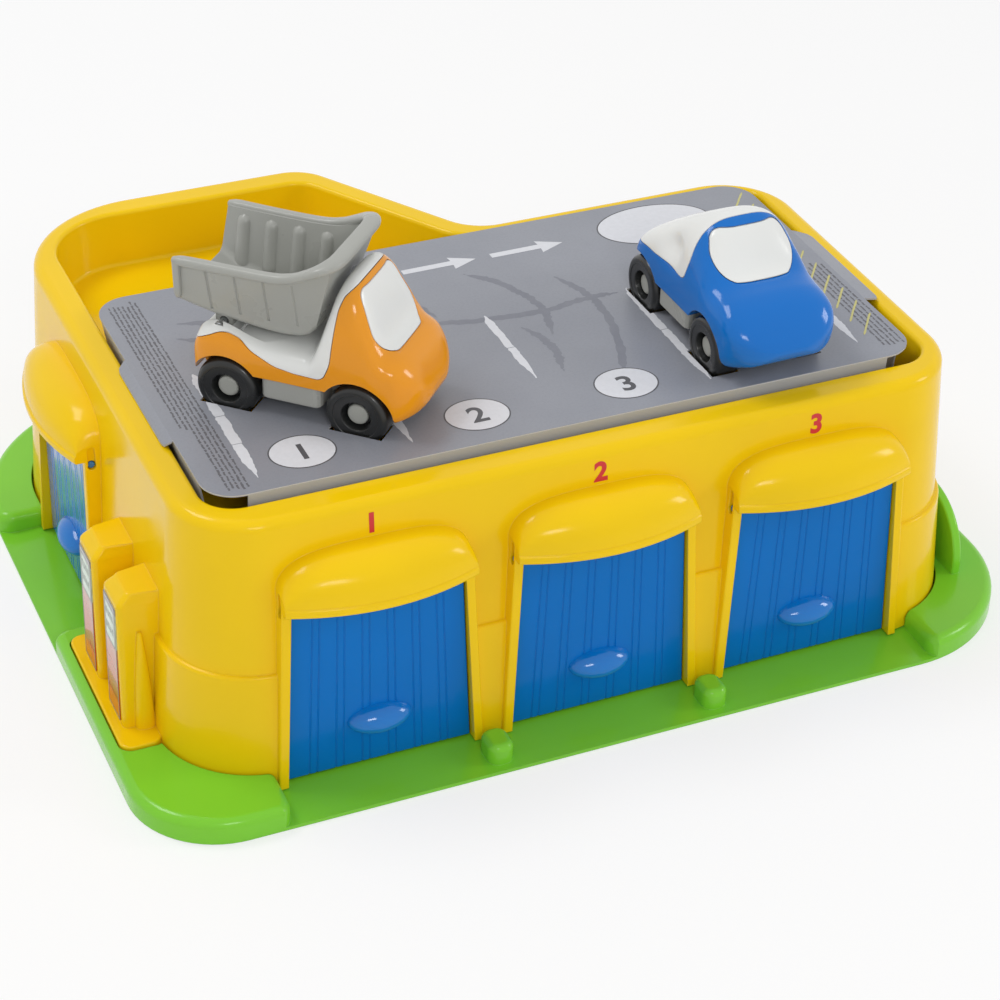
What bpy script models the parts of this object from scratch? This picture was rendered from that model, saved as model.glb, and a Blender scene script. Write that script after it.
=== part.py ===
"""Toy garage: a green base plate, a yellow shell with a recessed parking roof, four blue up-and-over
doors, a printed parking card, and two push-along vehicles (a dump truck and a small car).

Every size is in millimetres and is turned into metres where a mesh is made. Plan positions are
measured from the front left corner of the base plate: +X runs along the front, +Y to the back, +Z up.
"""
import math

import bmesh
import bpy
from mathutils import Matrix, Vector

MM = 0.001
CLEARANCE = 0.3            # running gap between pieces that touch or slide
FLAT_LIMIT = 0.0005        # a face bent by more than this is split into triangles

# Base plate
BASE_LENGTH = 395.5
BASE_DEPTH = 241.0         # depth of the rectangular part
BASE_REACH = 320.0         # back of the rounded bay
BASE_NECK = 232.4          # where the bay's flank leaves the back side
BASE_LEFT_CORNER = 38.0
BASE_RIGHT_CORNER = 60.0
BASE_BACK_CORNER = 45.0
BASE_BAY_CORNER = 80.0
SLAB_TOP = 3.0
PAVEMENT_TOP = 11.0
PAVEMENT_EDGE = 4.0        # rounding of the pavement's top edge
PAVEMENT_WALL = 2.2
DRIVEWAY_LIP = 1.8         # thickness of the driveway at the edge of the base
DRIVEWAY_LEFT_MARGIN = 0.6   # from the outermost door posts to the pavement's ends
DRIVEWAY_RIGHT_MARGIN = 6.0
DRIVEWAY_END_RADIUS = 8.0
KERB_WIDTH = 11.0
KERB_DEPTH = 14.0
KERB_TOP = 11.0
KERB_FROM_EDGE = 10.5
KERB_SHIFT = 2.6           # both kerbs stand this far left of the middle between two doors

# Shell
WALL = 2.5
SHELL_FOOT = SLAB_TOP + CLEARANCE
SHELL_LEFT = 20.2
SHELL_FRONT = 22.1
RIGHT_LEDGE = 24.1         # width of the pavement outside the shell, side by side
BACK_LEDGE = 14.1
REACH_LEDGE = 12.0
NECK_LEDGE = 7.4
SHELL_RIGHT = BASE_LENGTH - RIGHT_LEDGE
SHELL_BACK = BASE_DEPTH - BACK_LEDGE
SHELL_REACH = BASE_REACH - REACH_LEDGE
SHELL_NECK = BASE_NECK - NECK_LEDGE
SHELL_CORNER = 41.0
SHELL_NECK_FILLET = 12.0
SHELL_BAY_RIGHT = 31.0     # corner radii of the rounded bay
SHELL_BAY_LEFT = 64.0
BAY_LEAN = 0.63            # sideways run of the bay's flank for each millimetre back
DRAFT = 0.062              # wall taper, millimetres per millimetre of height
SHOULDER_HEIGHT = 55.5
SHOULDER_STEP = 1.8
RIM_HEIGHT = 122.5
RIM_ROUND = 4.5

# Roof well
RIM_LEFT = 21.3            # width of the rim round the well, side by side
RIM_RIGHT = 18.9
RIM_FRONT = 23.4
RIM_BACK = 18.4
RIM_REACH = 23.0
RIM_NECK = 13.5
WELL_LEFT = SHELL_LEFT + RIM_LEFT
WELL_RIGHT = SHELL_RIGHT - RIM_RIGHT
WELL_FRONT = SHELL_FRONT + RIM_FRONT
WELL_BACK = SHELL_BACK - RIM_BACK
WELL_REACH = SHELL_REACH - RIM_REACH
WELL_NECK = SHELL_NECK - RIM_NECK
WELL_CORNER = 14.0
WELL_NECK_FILLET = 22.0
WELL_BAY_RIGHT = 14.0
WELL_BAY_LEFT = 32.0
WELL_FLOOR = 97.0
WELL_EDGE_ROUND = 2.0
WELL_FLOOR_ROUND = 2.0
WELL_DRAFT = 1.2

# Doors and their surrounds
FRONT_DOOR_FIRST = SHELL_LEFT + 0.22722 * (SHELL_RIGHT - SHELL_LEFT)
FRONT_DOOR_PITCH = 0.27136 * (SHELL_RIGHT - SHELL_LEFT)
DOOR_FOOT_WIDTH = 0.829 * FRONT_DOOR_PITCH   # clear width between the posts at the driveway
DOOR_TOP_WIDTH = 0.745 * FRONT_DOOR_PITCH    # and at the lip
LIP_HEIGHT = 86.5          # underside of the canopy
POST_WIDTH = 3.8
POST_PROUD = 2.2
POST_DRAFT = 0.03
POST_DEPTH = 10.0
CANOPY_TOP = 107.0
CANOPY_BOW = 11.0          # reach of the canopy at its middle
CANOPY_END_BOW = 3.1
CANOPY_SKIN = 2.2
CANOPY_BAND = 3.8          # height of the band along the lip
CANOPY_BAND_PROUD = 0.8
SIDE_DOOR_CENTRE = 188.0
DOOR_THICKNESS = 2.4
DOOR_SET_BACK = 2.0        # door face behind the wall's foot
DOOR_SIDE_GAP = 0.5
DOOR_FOOT_GAP = 0.6
HINGE_DROP = 2.2           # pin axis below the lip
DOOR_HEAD = 3.0            # door edge above the pin axis
PIN_RADIUS = 1.5
PIN_REACH = 3.3
SLOT_HEIGHT = 9.0
SLOT_DEPTH = 1.6
PLANKS = 7
GROOVE_WIDTH = 1.0
GROOVE_DEPTH = 0.5
HANDLE_WIDTH = 27.0
HANDLE_HEIGHT = 12.5
HANDLE_REACH = 6.5
HANDLE_LEVEL = 21.0        # centre of the handle above the door's foot

# Petrol pumps
ISLAND_START = 56.0
ISLAND_END = 135.0
ISLAND_EDGE = 4.3
ISLAND_TOP = 12.4
ISLAND_GAP = 0.6
ISLAND_CORNER = 5.0
PUMP_WIDTH = 22.5
PUMP_FIRST = 79.0
PUMP_PITCH = 34.0
PUMP_FACE = 8.3            # front face at the island
PUMP_TOP = 75.0
PUMP_LEAN = 1.2            # how far the face leans back over its height
PUMP_CHAMFER = 4.5
LABEL_THICKNESS = 0.4
LABEL_MARGIN = 2.6         # bare plastic left and right of a label
LABEL_FOOT = 14.5
LABEL_HEAD = 2.0           # bare plastic above a label

# Arched kerb against the right wall
ARCH_CENTRE = 71.0
ARCH_RADIUS = 29.5
ARCH_RIM = 8.5
ARCH_GAP = 0.8
ARCH_THICKNESS = 7.0
ARCH_PANEL = 3.5
ARCH_SPRING = 4.5          # height of its centre above the pavement

# Screws
SCREW_RADIUS = 1.3
SCREW_LENGTH = 12.0
SCREW_HEAD_RADIUS = 2.8
SCREW_HEAD_HEIGHT = 1.5
BOSS_RADIUS = 4.6
BOSS_HEIGHT = 30.0

# Parking card
CARD_THICKNESS = 1.0
CARD_TOP = 126.5
CARD_LEFT_GAP = 2.5
CARD_RIGHT_GAP = 6.5
CARD_FRONT_GAP = 1.0
CARD_BACK_GAP = 3.0
CARD_CORNER = 14.0
TAB_START = 92.0
TAB_END = 156.0
TAB_LEFT_REACH = 6.0
TAB_RIGHT_REACH = 8.5
SLOT_MARGIN = 0.7
CARD_FAR = 6.0             # how far a slot's cutter runs below and above the card

# Vehicles, both on the same wheels: +X forward, +Y left, heights from the hubs
WHEEL_RADIUS = 12.9
WHEEL_WIDTH = 11.2
WHEEL_TRACK = 49.0         # over the outer faces of the tyres
HUB_TRACK = 45.0           # over the faces of the hubs
WHEEL_BASE = 55.0
WHEEL_SINK = 5.4
TYRE_EDGE = 1.8            # rounding of the tread's outer edge
HUB_RADIUS = 4.4
HUB_RECESS = 6.0
HUB_THICKNESS = 2.4
AXLE_RADIUS = 1.8
ARCH_CLEARANCE = 2.4
TRAY_HALF_WIDTH = 12.5
TRAY_BOTTOM = -4.0
SILL_HALF_WIDTH = 24.2
SILL_BOTTOM = -0.5
BEYOND = 90.0              # well outside a vehicle
SCREEN_CORNER = 5.0
TRUCK_AT = (90.2, 91.0)    # midpoint between the hub faces on the near side
TRUCK_HEADING = -43.8
CAR_AT = (258.7, 96.6)
CAR_HEADING = -88.9

# Dump truck; curves are (along, height) or (along, half width) points
TRUCK_HALF_WIDTH = 25.5
TRUCK_BELT = 19.0          # the body narrows above this height
TRUCK_TRAY = (-38.5, 45.0)
TRUCK_SILL_TOP = 9.0
TRUCK_TOP = [(-43, 13), (-41.5, 20), (-38, 26.5), (-33, 29), (-27, 28), (-18, 24.5), (-8, 22.5), (3, 22),
             (8.5, 23), (11, 29), (16.2, 48), (18.2, 51.8), (21, 53.4), (24, 52.6), (27, 49.4), (30.5, 42),
             (34.5, 32.6), (37.5, 27.8), (41, 25.8), (44.5, 23.8), (47.8, 20.2), (50.6, 15.8), (52.3, 12.2), (53, 10)]
TRUCK_LOW = [(-43, 5), (-41, 1), (-37, -0.5), (20, -0.5), (36, -1.2), (44, -0.8), (49, 1), (51.6, 4), (53, 7.5)]
TRUCK_WIDTH = [(-43, 18), (-41.5, 22), (-38, 24.5), (-32, 25.5), (0, 25.2), (30, 25.5), (41.5, 24.2), (47.2, 20.2),
               (50.6, 15.4), (52.3, 10.6), (53, 7.5)]
TRUCK_STATIONS = [-43, -42, -40, -37, -33, -27, -17, -6, 6, 9, 11.5, 14, 16.5, 18.5, 21, 24, 27, 30, 33, 36, 39.5,
                  43, 46.5, 49.3, 51.4, 52.6, 53]
TRUCK_WHITE_LOW = [(-42, 19), (-36, 22), (-30, 24.8), (-24, 24.8), (-16, 19.6), (-6, 15.4), (2, 14.2)]
TRUCK_WHITE_FRONT = [(14, 14), (17, 21), (19.6, 46), (22.5, 54), (24, BEYOND)]
TRUCK_WHITE_CORE = (-10.0, 22.0, 18.5)   # front, half width and foot of the hinge's bed inside the deck
TRUCK_SCREEN = (26.0, 50.0, 21.0, 14.5, 16.0)   # foot, head, half width at each, and its inner face
DECK_HEIGHT = 22.0
CAB_BACK = [(8.0, DECK_HEIGHT), (10.5, 30), (16, 48), (16, BEYOND)]
TIP_PIVOT = (-31.0, 25.5)
TIP_CHANNEL = 19.2         # half width of the channel in the deck
TIP_CHANNEL_DEPTH = 2.0
TIP_LUG_RADIUS = 3.6
TIP_LUG_HALF = 16.0
TIP_PIN_RADIUS = 1.6
TIP_PIN_HALF = 20.8

# Tipper bed; sections are (along at the floor, along at the rim, floor, rim, half floor, half rim)
BED_WALL = 2.0
BED_SECTIONS = [(-48.5, -46.5, 33.6, 54.0, 20.2, 25.0), (-41.0, -41.0, 30.6, 54.0, 18.6, 24.6),
                (-31.0, -31.0, 28.0, 54.0, 17.6, 24.3), (-12.0, -12.0, 25.6, 54.0, 17.2, 24.2),
                (-1.0, 1.5, 25.6, 55.0, 17.0, 24.2), (4.5, 8.0, 27.2, 58.0, 17.0, 23.9)]
BED_FRONT = (8.2, 17.6, 30.5, 60.6, 16.6, 23.2)
BED_FRONT_INSIDE = (6.0, 15.3, 30.5, 60.6, 16.6, 23.2)
BED_TAIL_INSIDE = (-56.0, -54.0, 36.6, 54.0, 21.8, 25.4)
BED_BEND = (1.4, 4.0)      # the floor's edge turns up over this width and height
BED_SIDE = ((18.6, 29.8), (24.2, 54.0))   # (half width, height) of the side wall's outside, foot and rim
BED_RIBS = 4
BED_RIB_FIRST = -39.0
BED_RIB_PITCH = 12.0
BED_RIB_HALF = 2.2
BED_RIB_PROUD = 1.4
BED_CREASE_SHIFT = 4.5     # from a rib to the crease ahead of it
BED_CREASE_HALF = 0.7
BED_RAIL = [(-47.3, 25.0, 53.9), (-30.0, 24.4, 53.8), (-8.0, 24.2, 54.0), (1.0, 24.2, 55.4), (7.0, 24.0, 57.9),
            (12.0, 23.3, 60.4), (15.5, 21.0, 61.8), (17.3, 16.5, 62.2), (17.6, 6.0, 62.3)]
BED_RAIL_SECTION = [(1.4, -2.0), (2.1, 0.0), (1.2, 1.7), (-1.4, 1.7), (-2.2, 0.0), (-1.8, -2.0)]
BED_FLANGE = [(-49.0, 20.0, 35.2), (-47.2, 24.2, 54.0)]   # foot and head of the rib round the tail's side edges
BED_FLANGE_SIZE = (3.0, 2.6)

# Car
CAR_BELT = 17.0
CAR_TRAY = (-36.0, 42.0)
CAR_SILL_TOP = 8.0
CAR_TOP = [(-41, 9), (-40, 13), (-37.5, 18.5), (-33.5, 23.5), (-28, 28), (-21, 32.8), (-12, 38.4), (-3, 43.4),
           (3, 45.8), (7, 46.6), (10, 46.1), (13, 44.5), (16.5, 41), (20, 36.8), (24, 32), (28, 28.8), (33, 27.3),
           (39, 26.2), (45, 23.4), (50, 18.8), (53.5, 14.2), (55.5, 10.6), (56, 9)]
CAR_LOW = [(-41, 4), (-39, 0), (-35, -1.5), (40, -1.8), (46, -0.8), (50, 0.8), (53.5, 3.4), (55.5, 6), (56, 7.5)]
CAR_WIDTH = [(-41, 15), (-40, 18.5), (-37, 22), (-31, 24.8), (-20, 25.0), (0, 24.8), (20, 25.0), (30, 25.6),
             (40, 25.4), (45, 24.8), (49, 22.8), (52, 19.6), (54.3, 15), (55.5, 10.5), (56, 7.5)]
CAR_STATIONS = [-41, -40, -38, -34.5, -29, -22, -14, -6, 1, 5, 9, 12.5, 16, 20, 24, 28, 33, 39, 44, 48, 51, 53.6,
                55.3, 56]
CAR_WHITE_LOW = [(-41, 17.0), (-36, 18.6), (-24, 20.6), (-14, 21.0), (4, 21.0)]
CAR_WHITE_FRONT = [(8.0, 21.4), (9.6, 30), (8.8, 40), (8.6, BEYOND)]
CAR_SCREEN = (27.4, 44.4, 20.2, 13.6, 6.0)


# Mesh building

def loft(rings):
    """Skin a list of equal rings of points and close both ends."""
    bm = bmesh.new()
    layers = [[bm.verts.new(Vector(p) * MM) for p in ring] for ring in rings]
    for low, high in zip(layers, layers[1:]):
        for i in range(len(low)):
            j = (i + 1) % len(low)
            bm.faces.new((low[i], low[j], high[j], high[i]))
    bm.faces.new(list(reversed(layers[0])))
    bm.faces.new(layers[-1])
    bmesh.ops.recalc_face_normals(bm, faces=bm.faces)
    split_bent_faces(bm)
    return bm


def split_bent_faces(bm):
    """Triangulate the faces that are not flat, so that booleans read them without doubt."""
    bent = []
    for face in bm.faces:
        middle = face.calc_center_median()
        if any(abs((v.co - middle).dot(face.normal)) > FLAT_LIMIT * MM for v in face.verts):
            bent.append(face)
    bmesh.ops.triangulate(bm, faces=bent)


def filleted(corners, inset=0.0):
    """Points round a counter-clockwise polygon whose corners (x, y, radius, segments) are rounded.

    The outline is moved inward by inset: outer corners tighten and inner corners open up.
    """
    count = len(corners)
    lines = []
    for k in range(count):
        a, b = Vector(corners[k][:2]), Vector(corners[(k + 1) % count][:2])
        along = (b - a).normalized()
        lines.append((a + Vector((-along.y, along.x)) * inset, along))
    points = []
    for k in range(count):
        (p, d), (q, e) = lines[k - 1], lines[k]
        turn = d.x * e.y - d.y * e.x
        t = ((q - p).x * e.y - (q - p).y * e.x) / turn
        corner = p + d * t
        radius, segments = corners[k][2], corners[k][3]
        radius = max(0.05, radius - inset if turn > 0 else radius + inset)
        half = math.atan2(turn, d.dot(e)) / 2
        trim = abs(radius * math.tan(half))
        start = corner - d * trim
        side = 1.0 if turn > 0 else -1.0
        centre = start + Vector((-d.y, d.x)) * radius * side
        for i in range(segments + 1):
            spin = 2 * half * i / segments
            arm = start - centre
            c, s = math.cos(spin), math.sin(spin)
            points.append((centre.x + arm.x * c - arm.y * s, centre.y + arm.x * s + arm.y * c))
    return points


def ring_at(points, z):
    return [(x, y, z) for x, y in points]


def pad(corners, levels):
    """A solid whose filleted outline changes with height: levels are (inset, z)."""
    return loft([ring_at(filleted(corners, inset), z) for inset, z in levels])


def box(x0, x1, y0, y1, z0, z1):
    base = [(x0, y0), (x1, y0), (x1, y1), (x0, y1)]
    return loft([ring_at(base, z0), ring_at(base, z1)])


def rounded_box(x0, x1, y0, y1, radius, levels, segments=4):
    corners = [(x0, y0, radius, segments), (x1, y0, radius, segments),
               (x1, y1, radius, segments), (x0, y1, radius, segments)]
    return pad(corners, levels)


def turned(profile, segments=32, axis="Z"):
    """Revolve (radius, height) points that go once round a closed section or start and end on the axis."""
    rings = []
    solid = profile[0][0] == 0 and profile[-1][0] == 0
    bm = bmesh.new()
    poles = {}
    for radius, height in profile:
        if radius == 0:
            v = bm.verts.new(Vector((0, 0, height)) * MM)
            rings.append([v])
            continue
        ring = []
        for i in range(segments):
            a = 2 * math.pi * i / segments
            ring.append(bm.verts.new(Vector((radius * math.cos(a), radius * math.sin(a), height)) * MM))
        rings.append(ring)
    pairs = list(zip(rings, rings[1:]))
    if not solid:
        pairs.append((rings[-1], rings[0]))
    for low, high in pairs:
        for i in range(segments):
            j = (i + 1) % segments
            if len(low) == 1:
                bm.faces.new((low[0], high[j], high[i]))
            elif len(high) == 1:
                bm.faces.new((low[i], low[j], high[0]))
            else:
                bm.faces.new((low[i], low[j], high[j], high[i]))
    if axis == "X":
        bmesh.ops.rotate(bm, matrix=Matrix.Rotation(math.pi / 2, 3, "Y"), verts=bm.verts)
    if axis == "Y":
        bmesh.ops.rotate(bm, matrix=Matrix.Rotation(-math.pi / 2, 3, "X"), verts=bm.verts)
    bmesh.ops.recalc_face_normals(bm, faces=bm.faces)
    return bm


def moved(bm, x=0.0, y=0.0, z=0.0, turn=0.0):
    if turn:
        bmesh.ops.rotate(bm, matrix=Matrix.Rotation(math.radians(turn), 3, "Z"), verts=bm.verts)
    bmesh.ops.translate(bm, vec=Vector((x, y, z)) * MM, verts=bm.verts)
    return bm


def joined(*parts):
    """Put separate solids into one mesh, to serve together as one cutter or one addition."""
    whole = bmesh.new()
    for bm in parts:
        mesh = bpy.data.meshes.new("loose")
        bm.to_mesh(mesh)
        bm.free()
        whole.from_mesh(mesh)
        bpy.data.meshes.remove(mesh)
    return whole


def temporary(bm):
    mesh = bpy.data.meshes.new("tool")
    bm.to_mesh(mesh)
    bm.free()
    tool = bpy.data.objects.new("tool", mesh)
    bpy.context.scene.collection.objects.link(tool)
    return tool


def combined(bm, steps):
    """Apply boolean steps ("cut", "fuse" or "keep", mesh) to a solid, one after another."""
    verbs = {"cut": "DIFFERENCE", "fuse": "UNION", "keep": "INTERSECT"}
    target = temporary(bm)
    for verb, shape in steps:
        tool = temporary(shape)
        step = target.modifiers.new(verb, "BOOLEAN")
        step.operation = verbs[verb]
        step.solver = "EXACT"
        step.object = tool
        graph = bpy.context.evaluated_depsgraph_get()
        result = bpy.data.meshes.new_from_object(target.evaluated_get(graph))
        target.modifiers.clear()
        old = target.data
        target.data = result
        bpy.data.meshes.remove(old)
        used = tool.data
        bpy.data.objects.remove(tool)
        bpy.data.meshes.remove(used)
    out = bmesh.new()
    out.from_mesh(target.data)
    last = target.data
    bpy.data.objects.remove(target)
    bpy.data.meshes.remove(last)
    bmesh.ops.remove_doubles(out, verts=out.verts, dist=0.002 * MM)
    bmesh.ops.dissolve_degenerate(out, edges=out.edges, dist=0.002 * MM)
    return out


def material(name, colour, roughness, metallic=0.0):
    made = bpy.data.materials.new(name)
    made.use_nodes = True
    shader = made.node_tree.nodes["Principled BSDF"]
    shader.inputs["Base Color"].default_value = (*colour, 1.0)
    shader.inputs["Roughness"].default_value = roughness
    shader.inputs["Metallic"].default_value = metallic
    return made


def place(name, bm, finish, parent, at=(0, 0, 0), smooth=35.0):
    """Make the named piece from a mesh in its own frame and hang it on its parent."""
    mesh = bpy.data.meshes.new(name)
    bm.to_mesh(mesh)
    bm.free()
    mesh.materials.append(finish)
    mesh.shade_smooth()
    mesh.set_sharp_from_angle(angle=math.radians(smooth))
    piece = bpy.data.objects.new(name, mesh)
    bpy.context.scene.collection.objects.link(piece)
    piece.parent = parent
    piece.location = Vector(at) * MM
    return piece


def frame_at(name, parent, at, heading=0.0):
    empty = bpy.data.objects.new(name, None)
    bpy.context.scene.collection.objects.link(empty)
    empty.parent = parent
    empty.location = Vector(at) * MM
    empty.rotation_euler = (0, 0, math.radians(heading))
    return empty


# Outlines seen from above

def plan(left, right, front, back, neck, reach, radii):
    """Six rounded corners: a rectangle with a rounded bay at the left of its back side."""
    front_left, front_right, back_right, fillet, bay_right, bay_left = radii
    bay_corner = neck - BAY_LEAN * (reach - back)
    return [(left, front, front_left, 6), (right, front, front_right, 6), (right, back, back_right, 6),
            (neck, back, fillet, 4), (bay_corner, reach, bay_right, 5), (left, reach, bay_left, 8)]


BASE_PLAN = plan(0, BASE_LENGTH, 0, BASE_DEPTH, BASE_NECK, BASE_REACH,
                 (BASE_LEFT_CORNER, BASE_RIGHT_CORNER, BASE_BACK_CORNER, SHELL_NECK_FILLET,
                  BASE_BACK_CORNER, BASE_BAY_CORNER))
SHELL_PLAN = plan(SHELL_LEFT, SHELL_RIGHT, SHELL_FRONT, SHELL_BACK, SHELL_NECK, SHELL_REACH,
                  (SHELL_CORNER, SHELL_CORNER, SHELL_CORNER,
                   SHELL_NECK_FILLET, SHELL_BAY_RIGHT, SHELL_BAY_LEFT))
WELL_PLAN = plan(WELL_LEFT, WELL_RIGHT, WELL_FRONT, WELL_BACK, WELL_NECK, WELL_REACH,
                 (WELL_CORNER, WELL_CORNER, WELL_CORNER, WELL_NECK_FILLET, WELL_BAY_RIGHT, WELL_BAY_LEFT))


def wall_inset(z):
    """How far the shell's outer face stands inside its foot outline at height z."""
    step = SHOULDER_STEP if z > SHOULDER_HEIGHT else 0.0
    return DRAFT * (z - SHELL_FOOT) + step


def door_half(z):
    """Half of the clear width of a doorway at height z."""
    share = (z - SLAB_TOP) / (LIP_HEIGHT - SLAB_TOP)
    return (DOOR_FOOT_WIDTH + (DOOR_TOP_WIDTH - DOOR_FOOT_WIDTH) * share) / 2


DOORWAY_HALF = DOOR_FOOT_WIDTH / 2 + POST_WIDTH
DRIVEWAY_START = FRONT_DOOR_FIRST - DOORWAY_HALF - DRIVEWAY_LEFT_MARGIN
DRIVEWAY_END = FRONT_DOOR_FIRST + 2 * FRONT_DOOR_PITCH + DOORWAY_HALF + DRIVEWAY_RIGHT_MARGIN
SIDE_DRIVEWAY_HALF = DOORWAY_HALF + DRIVEWAY_LEFT_MARGIN


def post_front(z):
    return POST_DRAFT * (z - SHELL_FOOT) - POST_PROUD


# Every doorway is drawn round its own centre with the wall's foot plane at y = 0 and outside at -y.
DOORWAYS = [("front_door_left", FRONT_DOOR_FIRST, SHELL_FRONT, 0.0),
            ("front_door_middle", FRONT_DOOR_FIRST + FRONT_DOOR_PITCH, SHELL_FRONT, 0.0),
            ("front_door_right", FRONT_DOOR_FIRST + 2 * FRONT_DOOR_PITCH, SHELL_FRONT, 0.0),
            ("side_door", SHELL_LEFT, SIDE_DOOR_CENTRE, -90.0)]
HINGE_HEIGHT = LIP_HEIGHT - HINGE_DROP
HINGE_DEPTH = DOOR_SET_BACK + DOOR_THICKNESS / 2


# Garage pieces

def shell_body():
    """The drafted wall, shoulder, rolled rim, roof well and its floor, all one wall thick."""
    rim_inset = wall_inset(RIM_HEIGHT - RIM_ROUND)
    rings = []

    def well(inset, z):
        rings.append(ring_at(filleted(WELL_PLAN, inset), z))

    def wall(inset, z):
        rings.append(ring_at(filleted(SHELL_PLAN, inset), z))

    well(WELL_DRAFT + WELL_FLOOR_ROUND, WELL_FLOOR)
    well(WELL_DRAFT + 0.3 * WELL_FLOOR_ROUND, WELL_FLOOR + 0.3 * WELL_FLOOR_ROUND)
    well(WELL_DRAFT, WELL_FLOOR + WELL_FLOOR_ROUND)
    well(0.0, RIM_HEIGHT - WELL_EDGE_ROUND)
    well(-0.3 * WELL_EDGE_ROUND, RIM_HEIGHT - 0.3 * WELL_EDGE_ROUND)
    well(-WELL_EDGE_ROUND, RIM_HEIGHT)
    wall(rim_inset + RIM_ROUND, RIM_HEIGHT)
    for a in (math.pi / 3, math.pi / 6, 0):
        wall(rim_inset + RIM_ROUND * (1 - math.cos(a)), RIM_HEIGHT - RIM_ROUND * (1 - math.sin(a)))
    wall(wall_inset(SHOULDER_HEIGHT + 0.1), SHOULDER_HEIGHT + 0.1)
    wall(wall_inset(SHOULDER_HEIGHT) + 0.1, SHOULDER_HEIGHT - 1.4)
    wall(0.0, SHELL_FOOT)
    wall(WALL, SHELL_FOOT)
    wall(wall_inset(SHOULDER_HEIGHT) + WALL, SHOULDER_HEIGHT - WALL)
    wall(wall_inset(SHOULDER_HEIGHT + 0.1) + WALL, SHOULDER_HEIGHT)
    wall(rim_inset + WALL, RIM_HEIGHT - WALL - 2.0)
    wall(rim_inset + WALL + 2.0, RIM_HEIGHT - WALL)
    well(-WALL, RIM_HEIGHT - WALL)
    well(WELL_DRAFT - WALL, WELL_FLOOR - WALL)
    return loft(rings)


def doorway_block():
    """The raised surround: a block over the opening, cut out later."""
    rings = []
    for z in (SHELL_FOOT, LIP_HEIGHT + 4.0):
        half = door_half(z) + POST_WIDTH
        rings.append([(-half, post_front(z), z), (half, post_front(z), z),
                      (half, POST_DEPTH, z), (-half, POST_DEPTH, z)])
    return loft(rings)


def canopy_form(shrink, root, foot, stations, steps):
    """A bowed hood over a doorway; with a shrink it is the hollow inside that hood."""
    half = door_half(LIP_HEIGHT) + (POST_WIDTH - 0.05 if shrink == 0 else 0.0)
    tall = CANOPY_TOP - LIP_HEIGHT - shrink
    band = CANOPY_BAND_PROUD if shrink == 0 else 0.0
    rings = []
    for i in range(stations + 1):
        x = -half * math.cos(math.pi * i / stations)
        height = tall * (1 - abs(x / (half + 0.35)) ** 3.4) ** (1 / 3.4)
        bow = CANOPY_END_BOW + (CANOPY_BOW - CANOPY_END_BOW) * (1 - (x / half) ** 2) - shrink
        lip = LIP_HEIGHT + min(CANOPY_BAND, 0.6 * height)
        top = LIP_HEIGHT + height
        ring = [(x, root, foot), (x, root, top)]
        for k in range(1, steps + 1):
            a = math.pi / 2 * k / steps
            ring.append((x, root - (root + bow) * math.sin(a) ** 0.85, lip + (top - lip) * math.cos(a) ** 0.85))
        ring.append((x, -bow - band, lip - 0.7))
        ring.append((x, -bow - band, foot))
        rings.append(ring)
    return loft(rings)


def canopy():
    return canopy_form(0.0, 8.7, LIP_HEIGHT, 12, 4)


def canopy_hollow():
    return canopy_form(CANOPY_SKIN, 20.0, LIP_HEIGHT - 1.0, 6, 2)


def doorway_opening():
    """Through the wall from below the foot up to the lip."""
    rings = []
    for z in (SHELL_FOOT - 2.0, LIP_HEIGHT + 0.05):
        half = door_half(z)
        rings.append([(-half, -30.0, z), (half, -30.0, z), (half, 20.0, z), (-half, 20.0, z)])
    return loft(rings)


def rod(radius, half_length, segments, axis):
    """A plain round bar centred on its own origin."""
    ends = [(0, -half_length), (radius, -half_length), (radius, half_length), (0, half_length)]
    return turned(ends, segments, axis)


def hinge_holes():
    """The holes for a door's pins, right through both posts."""
    hole = rod(PIN_RADIUS + CLEARANCE, door_half(HINGE_HEIGHT) + 3 * POST_WIDTH, 16, "X")
    return moved(hole, 0, HINGE_DEPTH, HINGE_HEIGHT)


def slot_recess(side):
    """The moulded recess above each hinge hole, on the outer side of the post."""
    outer = (door_half(HINGE_HEIGHT) + POST_WIDTH) * side
    near, far = sorted((outer - SLOT_DEPTH * side, outer + 2 * SLOT_DEPTH * side))
    return box(near, far, HINGE_DEPTH - PIN_RADIUS, HINGE_DEPTH + PIN_RADIUS,
               HINGE_HEIGHT + 0.4, HINGE_HEIGHT + SLOT_HEIGHT)


def at_doorways(shape):
    return joined(*[moved(shape(), x, y, 0, turn) for _, x, y, turn in DOORWAYS])


def island(grow, levels):
    """The plinth under the pumps; grown, it is the hole for it in the pavement."""
    back = SHELL_LEFT + WALL / 2 + 4 * grow
    return rounded_box(ISLAND_EDGE - grow, back, ISLAND_START - grow, ISLAND_END + grow,
                       ISLAND_CORNER + grow, levels)


def pump_place(k):
    return PUMP_FIRST + k * PUMP_PITCH


def pump():
    """One pump: a drafted block with a chamfered head, its back sunk in the wall."""
    rings = []
    levels = [(SHELL_FOOT + 0.5, 0.0), (PUMP_TOP - PUMP_CHAMFER, 0.0),
              (PUMP_TOP - 0.8, 0.8), (PUMP_TOP, 1.0)]
    for z, share in levels:
        lean = PUMP_LEAN * (z - SHELL_FOOT) / (PUMP_TOP - SHELL_FOOT)
        half = PUMP_WIDTH / 2 - lean
        face = PUMP_FACE + lean + PUMP_CHAMFER * share
        back = SHELL_LEFT + wall_inset(z) + WALL / 2
        corners = [(face, -half + 2.2 * share, 2.5, 3), (back, -half, 0.3, 1),
                   (back, half, 0.3, 1), (face, half - 2.2 * share, 2.5, 3)]
        rings.append(ring_at(filleted(corners), z))
    return loft(rings)


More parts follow.
